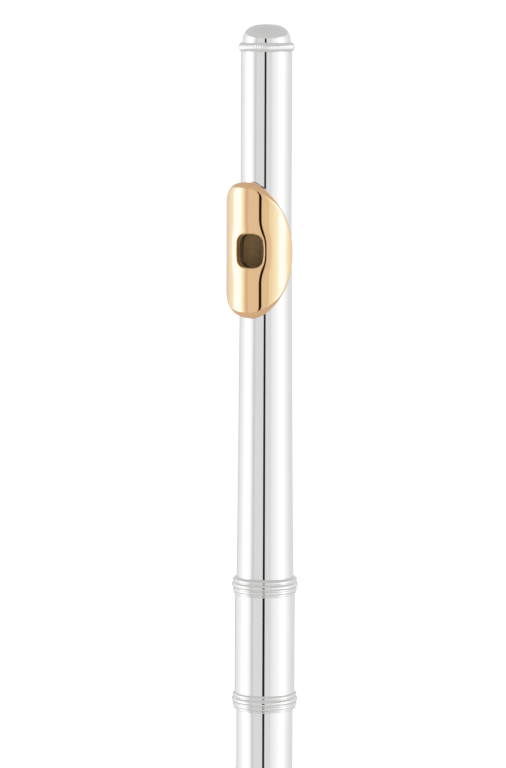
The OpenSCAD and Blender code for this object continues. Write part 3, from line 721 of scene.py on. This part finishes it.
def bar(bm, place, z, stations):
    """A rounded bar through stations of (x and u below, x and u above, half width)."""
    rings = []
    for (xb, ub), (xt, ut), half in stations:
        ring = []
        for side, share in BAR:
            ring.append(place(xb + (xt - xb) * share, ub + (ut - ub) * share, z + side * half))
        rings.append(ring)
    rows = add_rings(bm, rings)
    bm.faces.new(rows[0][::-1])
    bm.faces.new(rows[-1])


def straight(*stations):
    """Stations whose lower and upper points share their x."""
    return [((x, ub), (x, ut), half) for x, ub, ut, half in stations]


POINTED = straight(
    (-14.7, 12.75, 14.1, 1.9), (-13.8, 12.75, 14.85, 1.88), (-12.6, 12.8, 15.5, 1.78),
    (-11.5, 12.9, 15.72, 1.66), (-10.6, 13.9, 15.83, 1.58), (-9.6, 14.6, 15.91, 1.48),
    (-8.2, 15.0, 15.89, 1.36), (-5, 14.9, 15.81, 1.02), (-2.4, 14.8, 15.76, 0.73),
    (-0.6, 14.74, 15.66, 0.5), (0.2, 14.72, 15.45, 0.34), (0.7, 14.72, 15.3, 0.08),
)
ROOT = straight(
    (-14.7, 12.7, 13.8, 1.9), (-13.9, 12.7, 14.4, 1.92),
    (-12.8, 12.7, 14.96, 2.1), (-11.4, 13.3, 14.98, 2.4),
)


def slab(bm, place, outline, u0, u1, soft=0.22):
    """A plate over a closed (x, z) outline with a softened upper edge."""
    count = len(outline)
    sides = list(zip(outline, outline[1:] + outline[:1]))
    way = 1 if sum(a[0] * b[1] - b[0] * a[1] for a, b in sides) > 0 else -1

    def inset(amount):
        points = []
        for k in range(count):
            (ax, az), (bx, bz), (cx, cz) = outline[k - 1], outline[k], outline[(k + 1) % count]
            d1 = Vector((bx - ax, bz - az)).normalized()
            d2 = Vector((cx - bx, cz - bz)).normalized()
            n = Vector((-(d1.y + d2.y), d1.x + d2.x)) * way
            n = n.normalized() if n.length > 1e-6 else Vector((0, 0))
            reach = amount / max(0.5, n.dot(Vector((-d1.y, d1.x)) * way))
            points.append((bx + n.x * reach, bz + n.y * reach))
        return points

    levels = [(0.08, u0), (0.0, u0 + 0.1), (0.0, u1 - soft), (soft * 0.3, u1 - soft * 0.3), (soft, u1)]
    rings = [[place(x, u, z) for x, z in inset(amount)] for amount, u in levels]
    rows = add_rings(bm, rings)
    bm.faces.new(rows[0][::-1])
    bm.faces.new(rows[-1])


def oblong(w, length, cx, cz, corner=2.4, count=9):
    """Outline of a plate with rounded corners."""
    points = []
    for q, (sx, sz) in enumerate(((1, 1), (-1, 1), (-1, -1), (1, -1))):
        for k in range(count):
            t = math.radians(q * 90 + k * 90 / (count - 1))
            x = cx + sx * (w / 2 - corner) + corner * math.cos(t)
            points.append((x, cz + sz * (length / 2 - corner) + corner * math.sin(t)))
    return points


def block(bm, place, x0, x1, u0, u1, z0, z1, soft=0.12):
    slab(bm, place, [(x0, z0), (x1, z0), (x1, z1), (x0, z1)], u0, u1, soft)


def on_circle(start, end, radius):
    """Where the line from start to end first enters a circle about the origin."""
    for k in range(1, 400):
        x = start[0] + (end[0] - start[0]) * k / 200
        z = start[1] + (end[1] - start[1]) * k / 200
        if math.hypot(x, z) < radius:
            return (x, z)
    return end


def forked(bm, place, z, r):
    """A flat arm that splits into two prongs soldered to the cup's side."""
    bar(bm, place, z, ROOT)
    edge = r - 0.35
    outer = on_circle((-15.3, -2), (-r + 1.4, -4.6), edge)
    inner = on_circle((-r - 1.6, 0), (-r + 1.4, -2.2), edge)
    outline = [(-13.2, -2.45), outer, inner, (-r - 1.5, -0.12), (-r - 1.5, 0.12)]
    outline += [(inner[0], -inner[1]), (outer[0], -outer[1]), (-13.2, 2.45)]
    slab(bm, place, [(x, z + d) for x, d in outline], 13.35, 14.98, 0.3)


LUG_X = (-12.9, -10.4)


def driving_lug(bm, place, z):
    block(bm, place, *LUG_X, 13.4, 15.98, z - 3.4, z - 0.22)
    block(bm, place, *LUG_X, 15.02, 16.0, z - 3.4, z + 3.2)


def driven_lug(bm, place, z):
    block(bm, place, *LUG_X, 13.4, 14.92, z + 0.32, z + 3)


def curved_piece(bm, place, outline, centre_a, r0, r1, soft=0.2):
    """A plate wrapped round the tube's axis; the outline is (arc length, z) about centre_a."""
    mid = (r0 + r1) / 2

    def wrapped(s, r, z):
        t = math.radians(centre_a) + s / mid
        return place(r * math.sin(t), r * math.cos(t), z)

    dense = []
    for k, (s0, z0) in enumerate(outline):
        s1, z1 = outline[(k + 1) % len(outline)]
        parts = max(1, int(abs(s1 - s0) / 0.8))
        dense += [(s0 + (s1 - s0) * m / parts, z0 + (z1 - z0) * m / parts) for m in range(parts)]
    slab(bm, wrapped, dense, r0, r1, soft)


def finish_piece(bm, name, body, node, slot):
    hang(new_object(name, bm, 40), body, slot, node)


def finish_key(bm, body, node):
    finish_piece(bm, node + "_silver", body, node, "key_silver")


def one_pad(body, node, place, *cups):
    bm = bmesh.new()
    for r, z in cups:
        pad(bm, place, r, z)
    finish_piece(bm, node + "_skin", body, node, "pad_skin")


LOW_CUP, HIGH_CUP, SMALL_CUP, FOOT_CUP = LOW_R + 2, HIGH_R + 2, SMALL_R + 1.9, FOOT_R + 2


def main_keys():
    g_cups = [(HIGH_CUP, G_LOW_Z, "pointed"), (HIGH_CUP, G_HIGH_Z, "forked")]
    rows = [
        ("low_d", 133.9, 149.8, [(LOW_CUP, D_Z, "forked")]),
        ("low_e", 150, 169.8, [(LOW_CUP, E_Z, "forked")]),
        ("low_f", 175.2, 206, [(LOW_CUP, F_Z, "forked")]),
        ("f_sharp", 206.2, 229.3, [(LOW_CUP, F_SHARP_Z, "pointed")]),
        ("g", 234.7, 277.6, g_cups),
        ("a", 277.8, 299.6, [(HIGH_CUP, A_Z, "forked")]),
        ("b_flat", 299.8, 319.3, [(HIGH_CUP, B_FLAT_Z, "pointed")]),
        ("c", 324.7, 363.3, [(SMALL_CUP, C_SHARP_Z, "pointed")]),
    ]
    lugs = {"low_f": (driving_lug, 206.1), "f_sharp": (driven_lug, 206.1)}
    lugs.update({"a": (driving_lug, 299.7), "b_flat": (driven_lug, 299.7)})
    for name, z0, z1, cups in rows:
        body = "upper_c" if name == "c" else name
        bm = bmesh.new()
        hinge(bm, MAIN, z0, z1)
        for r, z, kind in cups:
            cup(bm, MAIN, r, z)
            if kind == "forked":
                forked(bm, MAIN, z, r)
            else:
                bar(bm, MAIN, z, POINTED)
        if name in lugs:
            add_lug, lug_z = lugs[name]
            add_lug(bm, MAIN, lug_z)
        if name == "c":
            dish = [(0, 0.02), (5.5, 0.02), (5.9, 0.25), (6.18, 0.5), (6.15, 0.75), (5.95, 1.05)]
            dish += [(5.7, 1.19), (5.3, 1.2), (4.6, 1.12), (3, 0.9), (1.5, 0.76), (0, 0.7)]
            add_turned(bm, MAIN, (0, 333.4), [(r, RIM_U + 2.4 + u) for r, u in dish], 80)
            stations = [(-14.6, 12.7, 13.9, 1.55), (-13.8, 12.7, 14.5, 1.55), (-12.8, 12.7, 14.96, 1.55)]
            stations += [(-11.2, 13.25, 14.98, 1.5), (-8, 13.7, 14.98, 1.5), (-4.1, 14.2, 14.98, 1.45)]
            bar(bm, MAIN, 333.4, straight(*stations))
        finish_key(bm, body, name + "_key")
        pads = {"g": "g_pads", "c": "c_key_pad"}.get(name, name + "_pad")
        one_pad(body, pads, MAIN, *[(r, z) for r, z, _ in cups])


TOUCH_ARM = [
    (-14.7, 12.7, 13.85), (-14.2, 12.7, 14.42), (-12.9, 12.75, 15.65),
    (-11.2, 13.45, 15.88), (-8.6, 14.3, 16.0), (-6.1, 15.1, 16.05),
]


def thumb_keys():
    bm = bmesh.new()
    hinge(bm, THUMB, 303.2, 344.5)
    cup(bm, THUMB, HIGH_CUP, THUMB_Z)
    bar(bm, THUMB, THUMB_Z, POINTED)
    slab(bm, THUMB, oblong(12.6, 14.4, -1, 311.2), 15, 16.2, 0.45)
    bar(bm, THUMB, 311, straight(*[(x, b, t, 2.5) for x, b, t in TOUCH_ARM]))
    driven_lug(bm, THUMB, 303.1)
    finish_key(bm, "thumb_b", "thumb_b_key")
    one_pad("thumb_b", "thumb_b_pad", THUMB, (HIGH_CUP, THUMB_Z))
    bm = bmesh.new()
    hinge(bm, THUMB, 286, 303)
    slab(bm, THUMB, oblong(11, 12.6, -1, 296), 15, 16.2, 0.45)
    bar(bm, THUMB, 294.8, straight(*[(x, b, t, 2.35) for x, b, t in TOUCH_ARM]))
    driving_lug(bm, THUMB, 303.1)
    finish_key(bm, "thumb_b_flat", "thumb_b_flat_lever")


HINGE_ANGLE = -math.degrees(math.atan2(-MAIN_HINGE[0], -MAIN_HINGE[1]))
TOUCH_R = math.hypot(*MAIN_HINGE) + 0.5
TOUCH_T = 1.2


def g_sharp_key():
    bm = bmesh.new()
    hinge(bm, G_SHARP, 239, 261)
    cup(bm, G_SHARP, HIGH_CUP, G_LOW_Z)
    bar(bm, G_SHARP, G_LOW_Z, POINTED)
    outline = oblong(13.2, 14, 0, 253.5)
    curved_piece(bm, G_SHARP, outline, HINGE_ANGLE - 20, TOUCH_R, TOUCH_R + TOUCH_T, 0.4)
    finish_key(bm, "g_sharp", "g_sharp_key")
    one_pad("g_sharp", "g_sharp_pad", G_SHARP, (HIGH_CUP, G_LOW_Z))


LEVER = [
    ((-17.5, 5.3), (-16.9, 7.3)), ((-15.8, 5.7), (-15.4, 8.2)), ((-13.2, 7.75), (-13.8, 9.25)),
    ((-11.6, 8.3), (-12.2, 9.8)), ((-9.9, 8.8), (-10.9, 10.25)), ((-8.8, 10.2), (-10.1, 11.4)),
    ((-7.8, 11.9), (-9.3, 12.6)), ((-7.0, 13.2), (-8.5, 14.0)), ((-6.25, 14.4), (-7.6, 15.35)),
]
SIDE_ARM = [
    ((11.3, 14.45), (10.7, 15.85), 1.9), ((9.6, 14.35), (9.3, 16.1), 1.75),
    ((8.4, 14.25), (8.0, 16.25), 1.6), ((6.4, 14.65), (6.4, 16.12), 1.42),
    ((4.6, 15.0), (4.6, 15.98), 1.22), ((2, 14.85), (2, 15.82), 0.84),
    ((0.2, 14.75), (0.2, 15.6), 0.46), ((-0.7, 14.73), (-0.7, 15.25), 0.08),
]


def trill_keys():
    def lever(bm, z):
        bar(bm, TRILL_LEVER, z, [(below, above, 1.48) for below, above in LEVER])
        slab(bm, TRILL_LEVER, oblong(11, 6.4, -1.2, z), 14.6, 15.8, 0.4)

    def side(bm, z):
        cup(bm, TRILL_CUP, SMALL_CUP, z)
        bar(bm, TRILL_CUP, z, SIDE_ARM)

    x, u = TRILL_HINGE[0], -TRILL_HINGE[1]
    bm = bmesh.new()
    hinge(bm, TRILL_LEVER, 175.2, 381.8, (x, u))
    lever(bm, (E_Z + F_Z) / 2)
    side(bm, TRILL_D_Z)
    finish_key(bm, "trill_d", "trill_d_key")
    one_pad("trill_d", "trill_d_pad", TRILL_CUP, (SMALL_CUP, TRILL_D_Z))
    bm = bmesh.new()
    ends = [(0, 141.6), (0.7, 141.6), (STEEL_R, 142.0), (STEEL_R, 403.0), (0.7, 403.4), (0, 403.4)]
    add_lathe(bm, ends, 24, lambda p: TRILL_LEVER(x + p.x / MM, u + p.y / MM, p.z / MM))
    hinge(bm, TRILL_LEVER, 146.4, 155.4, (x, u), bore=1.0)
    hinge(bm, TRILL_LEVER, 387.4, 398.7, (x, u), bore=1.0)
    lever(bm, (D_Z + E_Z) / 2)
    side(bm, TRILL_D_SHARP_Z)
    finish_key(bm, "trill_d_sharp", "trill_d_sharp_key")
    one_pad("trill_d_sharp", "trill_d_sharp_pad", TRILL_CUP, (SMALL_CUP, TRILL_D_SHARP_Z))


TOUCH_U = 16.8
PIN_U = TOUCH_U + 0.6


def pin(bm, x, z0, z1, ear_x0, ear_x1):
    for z in (z0 - 1.2, z1):
        block(bm, FOOT, ear_x0, ear_x1, TOUCH_U, TOUCH_U + TOUCH_T, z, z + 1.2, 0.15)
    outline = [(0, z0 - 1.2), (0.5, z0 - 1.2), (0.5, z1 + 1.2), (0, z1 + 1.2)]
    add_lathe(bm, outline, 20, lambda p: FOOT(x + p.x / MM, PIN_U + p.y / MM, p.z / MM))


def foot_keys():
    bm = bmesh.new()
    hinge(bm, FOOT_CLOSED, 95.8, 108.2)
    cup(bm, FOOT_CLOSED, FOOT_CUP, FOOT_D_SHARP_Z)
    bar(bm, FOOT_CLOSED, FOOT_D_SHARP_Z, POINTED)
    arm = [(-5.6, 97.8), (0.4, 97.8), (0.4, 105.4), (-5.6, 105.4)]
    curved_piece(bm, FOOT_CLOSED, arm, HINGE_ANGLE, TOUCH_R + 0.18, TOUCH_R + 1.02)
    outline = oblong(13.2, 17.3, 0, 104.85)
    curved_piece(bm, FOOT_CLOSED, outline, HINGE_ANGLE - 31.5, TOUCH_R, TOUCH_R + TOUCH_T, 0.4)
    finish_key(bm, "foot_d_sharp", "foot_d_sharp_key")
    one_pad("foot_d_sharp", "foot_d_sharp_pad", FOOT_CLOSED, (FOOT_CUP, FOOT_D_SHARP_Z))
    bm = bmesh.new()
    hinge(bm, FOOT, 61.1, 90.9)
    cup(bm, FOOT, FOOT_CUP, FOOT_C_SHARP_Z)
    bar(bm, FOOT, FOOT_C_SHARP_Z, POINTED)
    neck = [(-14.2, 12.5, 13.6), (-13.4, 12.6, 14.85), (-12, 12.8, 15.28), (-10.4, 13.0, 15.3)]
    neck += [(-9.3, 13.15, 15.6), (-8.7, 13.2, 16.85), (-6.6, 13.42, 16.88)]
    bar(bm, FOOT, 87.1, straight(*[(x, b, t, 2.85) for x, b, t in neck]))
    slab(bm, FOOT, oblong(5.2, 8.6, -6.2, 87.5), TOUCH_U, TOUCH_U + TOUCH_T, 0.35)
    pin(bm, -1.9, 84.4, 90.6, -4.6, -1.2)
    finish_key(bm, "foot_c_sharp", "foot_c_sharp_key")
    one_pad("foot_c_sharp", "foot_c_sharp_pad", FOOT, (FOOT_CUP, FOOT_C_SHARP_Z))
    bm = bmesh.new()
    hinge(bm, FOOT, 27, 60.9)
    cup(bm, FOOT, FOOT_CUP, FOOT_C_Z)
    bar(bm, FOOT, FOOT_C_Z, POINTED)
    neck = [(-14.5, 12.65, 13.9), (-14, 12.7, 15.3), (-13.2, 12.8, 16.75)]
    neck += [(-12.4, 12.9, 17.8), (-11.2, 13.1, 17.88), (-10.1, 13.4, 17.85)]
    bar(bm, FOOT, 54, straight(*[(x, b, t, 3.95) for x, b, t in neck]))
    block(bm, FOOT, -12.4, -10, 16.17, 17.9, 50, 94.2, 0.35)
    block(bm, FOOT, -12.4, 8, TOUCH_U, 17.88, 92.6, 94.2, 0.3)
    slab(bm, FOOT, oblong(5.4, 11.2, 6.6, 88.6), TOUCH_U, TOUCH_U + TOUCH_T, 0.35)
    pin(bm, 2.0, 84.4, 92.4, 1.4, 5)
    finish_key(bm, "foot_c", "foot_c_key")
    one_pad("foot_c", "foot_c_pad", FOOT, (FOOT_CUP, FOOT_C_Z))
    for name, x, z0, z1 in (("c_sharp_roller", -1.9, 84.6, 90.4), ("c_roller", 2.0, 84.6, 92.2)):
        bm = bmesh.new()
        outline = [(0.53, z0 + 0.02)] + arc(1.1, z0 + 0.47, 0.45, -90, 0, 6) + [(1.52, (z0 + z1) / 2)]
        outline += arc(1.1, z1 - 0.47, 0.45, 0, 90, 6) + [(0.53, z1 - 0.02)]
        add_lathe(bm, outline, 48, lambda p: FOOT(x + p.x / MM, PIN_U + p.y / MM, p.z / MM))
        finish_piece(bm, name + "_barrel", name, name, "roller_metal")


# ---- posts, ribs, steels and springs ----

FOOT_HINGE = about(MAIN_HINGE, (0, 0), FOOT_A)
THUMB_HINGE = about((-MAIN_HINGE[0], MAIN_HINGE[1]), (0, 0), THUMB_A)
G_SHARP_HINGE = about(MAIN_HINGE, (0, 0), G_SHARP_A)
RIB_T = 0.8


def post(bm, hinge_at, base_a, z):
    """A turned post: a foot on the rib, a waisted stem and a drilled ball."""
    t = math.radians(base_a)
    base = Vector(((TUBE_R + RIB_T) * math.sin(t), -(TUBE_R + RIB_T) * math.cos(t), 0))
    way = Vector((*hinge_at, 0)) - base
    length = way.length
    way.normalize()
    side = Vector((0, 0, 1)).cross(way)

    def place(p):
        return (base + Vector((0, 0, z))) * MM + way * p.z + side * p.x + Vector((0, 0, 1)) * p.y

    sink = -0.7
    stem = [(0, sink), (2.25, sink), (2.2, -0.1), (1.9, 0.45), (1.55, 1.1), (1.36, 1.7)]
    stem += [(1.25, length * 0.5), (1.12, length - 2.3), (0, length - 1.5)]
    add_lathe(bm, stem, 40, place)
    ball = [(STEEL_HOLE_R, -2.17), (1.36, -2.2)] + arc(0, 0, 2.58, -56, 56, 15)
    ball += [(1.36, 2.2), (STEEL_HOLE_R, 2.17)]
    add_lathe(bm, ball, 40, lambda p: Vector((hinge_at[0] * MM, hinge_at[1] * MM, z * MM)) + p)


def rib(bm, a0, a1, z0, z1):
    """A long strip soldered on the tube, with softened edges."""
    r = TUBE_R + RIB_T
    section = [(a0, TUBE_R - 0.05), (a0, r - 0.25), (a0 + 0.5, r - 0.07), (a0 + 1.3, r)]
    section += [(a0 + 1.3 + (a1 - a0 - 2.6) * k / 8, r) for k in range(1, 8)]
    section += [(a1 - 1.3, r), (a1 - 0.5, r - 0.07), (a1, r - 0.25), (a1, TUBE_R - 0.05)]
    rings = []
    levels = [(z0, 0.25), (z0 + 0.1, 0.08), (z0 + 0.3, 0)]
    levels += [(z1 - 0.3, 0), (z1 - 0.1, 0.08), (z1, 0.25)]
    for z, drop in levels:
        ring = []
        for a, radius in section:
            t = math.radians(a)
            radius = min(radius, r - drop)
            ring.append(Vector((radius * math.sin(t), -radius * math.cos(t), z)) * MM)
        rings.append(ring)
    rows = add_rings(bm, rings)
    bm.faces.new(rows[0][::-1])
    bm.faces.new(rows[-1])


def rod(bm, hinge_at, z0, z1):
    """A hinge steel with rounded ends and a recess in its upper end."""
    r = STEEL_R
    outline = [(0, z0), (r * 0.7, z0), (r, z0 + 0.25), (r, z1 - 0.25), (r * 0.8, z1)]
    outline += [(r * 0.35, z1), (r * 0.3, z1 - 0.3), (0, z1 - 0.3)]
    add_lathe(bm, outline, 28, lambda p: Vector((hinge_at[0] * MM, hinge_at[1] * MM, 0)) + p)


def needle(bm, hinge_at, z0, z1):
    """A needle spring that thins towards its free end."""
    share = (1 - 3.1 / math.hypot(*hinge_at)) * MM
    outline = [(0, z0), (0.3, z0), (0.3, z0 + (z1 - z0) * 0.3), (0.2, z1 - 0.4), (0.12, z1), (0, z1)]
    add_lathe(bm, outline, 12, lambda p: Vector((hinge_at[0] * share, hinge_at[1] * share, 0)) + p)


def gather(name, body, node, slot, add, items):
    """One piece made of several of the same kind, such as all the posts of a body."""
    bm = bmesh.new()
    for item in items:
        add(bm, *item)
    finish_piece(bm, name, body, node, slot)


def fittings():
    posts = [(MAIN_HINGE, -59, z) for z in (130.2, 172.5, 232, 322, 366)]
    posts += [(TRILL_HINGE, -77, z) for z in (143.5, 172.5, 384.6, 401.5)]
    posts += [(THUMB_HINGE, -105, z) for z in (283.5, 347)]
    posts += [(G_SHARP_HINGE, G_SHARP_A - 55, z) for z in (236.3, 263.7)]
    gather("body_post_balls", "body", "body_posts", "silver", post, posts)
    posts = [(FOOT_HINGE, FOOT_A - 66, z) for z in (24.4, 93.4, 110.8)]
    gather("foot_post_balls", "foot", "foot_posts", "silver", post, posts)
    back = [(-111, -97, 280, 351), (G_SHARP_A - 62, G_SHARP_A - 49, 233, 267)]
    gather("main_rib_strip", "body", "main_rib", "silver", rib, [(-84, -54, 127.6, 411)])
    gather("back_rib_strips", "body", "back_ribs", "silver", rib, back)
    gather("foot_rib_strip", "foot", "foot_rib", "silver", rib, [(FOOT_A - 80, FOOT_A - 59, 22, 113.2)])
    steels = [(MAIN_HINGE, 128.2, 231.95), (MAIN_HINGE, 232.05, 368.2)]
    steels += [(THUMB_HINGE, 281.5, 349), (G_SHARP_HINGE, 234.3, 265.7)]
    gather("body_steel_rods", "body", "body_steels", "hinge_steel", rod, steels)
    gather("foot_steel_rod", "foot", "foot_steel", "hinge_steel", rod, [(FOOT_HINGE, 22.3, 112.9)])
    spans = [(132, 141), (158, 171.5), (173.5, 177.2), (213, 231)]
    spans += [(233, 250), (282.6, 292.6), (302.5, 321), (323, 340)]
    springs = [(MAIN_HINGE, *span) for span in spans]
    springs += [(THUMB_HINGE, 284.5, 300), (THUMB_HINGE, 336, 346), (G_SHARP_HINGE, 250, 262.7)]
    gather("body_needles", "body", "body_springs", "spring_wire", needle, springs)
    springs = [(FOOT_HINGE, *span) for span in ((25.4, 40), (78, 92.4), (100, 109.8))]
    gather("foot_needles", "foot", "foot_springs", "spring_wire", needle, springs)


head_tube()
lip_plate()
riser()
crown()
crown_ring()
barrel()
foot_ends()
tubes()
main_keys()
thumb_keys()
g_sharp_key()
trill_keys()
foot_keys()
fittings()

slots = {part["node"]: part["material_slot"] for part in frame["record"]["subparts"]}
for node, obj in frame["nodes"].items():
    obj.data.materials.clear()
    obj.data.materials.append(LOOKS[slots[node]])

# ---- studio ----


FILM_KNEE = 0.5


def film(light):
    """The view's tone curve: straight up to the knee, then easing towards white."""
    if light <= FILM_KNEE:
        return light
    rest = 1 - FILM_KNEE
    return 1 - rest * math.exp(-(light - FILM_KNEE) / rest)


def light_for(level):
    """The light that silver must reflect to show as a screen grey from 0 to 255."""
    s = level / 255
    shown = ((s + 0.055) / 1.055) ** 2.4 if s > 0.04 else s / 12.92
    if shown > FILM_KNEE:
        rest = 1 - FILM_KNEE
        shown = FILM_KNEE + rest * math.log(rest / (1 - shown))
    return shown / SILVER_SHARE


# Each soft panel's edge: degrees round the flute from the camera, and the grey that silver shows.
PANELS = [
    (-180, 208), (-177, 210), (-174, 216), (-163, 216), (-161.5, 172), (-155.5, 172), (-154, 218),
    (-140, 220), (-108, 242), (-94, 254.6), (-85, 254.9), (-76, 254.6), (-66, 247), (-58, 228),
    (-53, 208), (-49, 198), (-45, 213), (-41, 217), (-14, 216), (-9.2, 212), (-8.7, 27), (-0.3, 27),
    (0.2, 216), (17, 219), (20, 211), (23, 226), (28, 232), (37, 238), (53, 248), (64, 254.6),
    (72, 254.9), (81, 254.6), (88, 249), (97, 241), (109, 231), (124, 220), (154, 218), (155.5, 172),
    (161.5, 172), (163, 216), (174, 214), (177, 210), (180, 208),
]
CEILING = 199
ZENITH = 195
FLOOR_LIGHT = 226
PANEL_TOP = (16.5, 21.5)
PANEL_LOW = (-38.0, -24.0)
CEILING_RISE = (30.0, 75.0)
SILVER_SHARE = 0.86
WHITE = 2.8
# A colour ramp takes 32 stops at most, so the panels are shared out among several.
RAMP_SPANS = 30


def studio():
    """White studio round the flute: soft panels with narrow gaps, a greyer ceiling, a pale floor."""
    world = bpy.data.worlds.new("studio")
    bpy.context.scene.world = world
    world.use_nodes = True
    tree = world.node_tree
    tree.nodes.clear()
    link = tree.links.new

    def maths(operation, *sources):
        node = node_of(tree, "ShaderNodeMath", operation=operation)
        for socket, source in zip(node.inputs, sources):
            if isinstance(source, (int, float)):
                socket.default_value = source
            else:
                link(source, socket)
        return node.outputs[0]

    way = node_of(tree, "ShaderNodeTexCoord").outputs["Generated"]
    axes = node_of(tree, "ShaderNodeSeparateXYZ")
    link(way, axes.inputs[0])
    back = maths("MULTIPLY", axes.outputs["Y"], -1.0)
    turn = maths("ARCTAN2", axes.outputs["X"], back)
    turn = maths("SUBTRACT", turn, math.radians(CAMERA_A))
    share = maths("DIVIDE", turn, 2 * math.pi)
    share = maths("FRACT", maths("ADD", share, 1.5))
    level = None
    for start in range(0, len(PANELS), RAMP_SPANS):
        chunk = PANELS[start : start + RAMP_SPANS + 1]
        stops = [((a + 180) / 360, light_for(v)) for a, v in chunk]
        part = ramp(tree, share, stops).outputs["Color"]
        if level is None:
            level = part
        else:
            mixed = node_of(tree, "ShaderNodeMix", data_type="RGBA")
            beyond = maths("GREATER_THAN", share, stops[0][0])
            link(beyond, mixed.inputs["Factor"])
            link(level, mixed.inputs["A"])
            link(part, mixed.inputs["B"])
            level = mixed.outputs["Result"]

    def blended(below, above, span):
        """Goes from one light to another over a span of elevations in degrees."""
        node = node_of(tree, "ShaderNodeMapRange")
        node.interpolation_type = "SMOOTHSTEP"
        node.inputs["From Min"].default_value = math.sin(math.radians(span[0]))
        node.inputs["From Max"].default_value = math.sin(math.radians(span[1]))
        link(axes.outputs["Z"], node.inputs["Value"])
        mixed = node_of(tree, "ShaderNodeMix", data_type="RGBA")
        link(node.outputs["Result"], mixed.inputs["Factor"])
        for key, value in (("A", below), ("B", above)):
            if isinstance(value, float):
                mixed.inputs[key].default_value = rgba(value)
            else:
                link(value, mixed.inputs[key])
        return mixed.outputs["Result"]

    over = blended(light_for(CEILING), light_for(ZENITH), CEILING_RISE)
    seen = blended(level, over, PANEL_TOP)
    seen = blended(light_for(FLOOR_LIGHT), seen, PANEL_LOW)
    reflected = node_of(tree, "ShaderNodeBackground")
    link(seen, reflected.inputs["Color"])
    backdrop = node_of(tree, "ShaderNodeBackground")
    backdrop.inputs["Color"].default_value = (1, 1, 1, 1)
    backdrop.inputs["Strength"].default_value = WHITE
    either = node_of(tree, "ShaderNodeMixShader")
    link(node_of(tree, "ShaderNodeLightPath").outputs["Is Camera Ray"], either.inputs[0])
    link(reflected.outputs[0], either.inputs[1])
    link(backdrop.outputs[0], either.inputs[2])
    link(either.outputs[0], node_of(tree, "ShaderNodeOutputWorld").inputs["Surface"])


studio()


FLOOR_R = 1600
FLOOR_GAP = 0.5


def floor():
    bm = bmesh.new()
    bmesh.ops.create_circle(bm, cap_ends=True, segments=128, radius=FLOOR_R * MM)
    bmesh.ops.translate(bm, verts=bm.verts, vec=(0, 0, -FLOOR_GAP * MM))
    obj = new_object("floor", bm)
    material, tree, shader = new_material("pale_floor")
    shader.inputs["Roughness"].default_value = 0.6
    mottle = texture(tree, "ShaderNodeTexNoise", Scale=30.0, Detail=4.0)
    tint = ramp(tree, mottle.outputs["Fac"], [(0.3, 0.9), (0.7, 0.93)])
    tree.links.new(tint.outputs["Color"], shader.inputs["Base Color"])
    obj.data.materials.append(material)


floor()

CAMERA_DISTANCE = 1200
CAMERA_TILT = 6.5
CAMERA_AIM_Z = 546.4
CAMERA_ASIDE = -4.32
CAMERA_ROLL = 0.165
CAMERA_LENS = 163.0
CAMERA_SENSOR = 36.0
CAMERA_NEAR = 50


def camera():
    data = bpy.data.cameras.new("camera")
    data.lens = CAMERA_LENS
    data.sensor_width = CAMERA_SENSOR
    data.sensor_fit = "AUTO"
    data.clip_start = CAMERA_NEAR * MM
    obj = bpy.data.objects.new("camera", data)
    bpy.context.scene.collection.objects.link(obj)
    turn = math.radians(CAMERA_A)
    tilt = math.radians(CAMERA_TILT)
    to_camera = Vector((math.sin(turn) * math.cos(tilt), -math.cos(turn) * math.cos(tilt), math.sin(tilt)))
    right = Vector((math.cos(turn), math.sin(turn), 0))
    aim = (Vector((0, 0, CAMERA_AIM_Z)) + right * CAMERA_ASIDE) * MM
    obj.location = aim + to_camera * CAMERA_DISTANCE * MM
    look = (-to_camera).to_track_quat("-Z", "Y").to_matrix().to_4x4()
    obj.rotation_euler = (look @ Matrix.Rotation(math.radians(CAMERA_ROLL), 4, "Z")).to_euler()
    bpy.context.scene.camera = obj


camera()


FILM_REACH = 4.0
FILM_LIGHTS = (0.25, 0.5, 0.6, 0.72, 0.86, 1.0, 1.2, 1.45, 1.75, 2.1)
FILM_WHITES = (2.7, 3.2)


def view():
    """A plain view with a film-like shoulder, so that bright gold pales before it clips."""
    settings = bpy.context.scene.view_settings
    settings.view_transform = "Standard"
    settings.use_curve_mapping = True
    mapping = settings.curve_mapping
    mapping.white_level = (FILM_REACH, FILM_REACH, FILM_REACH)
    points = mapping.curves[3].points
    for light in FILM_LIGHTS:
        points.new(light / FILM_REACH, film(light))
    for light in FILM_WHITES:
        points.new(light / FILM_REACH, 1.0)
    mapping.update()


view()
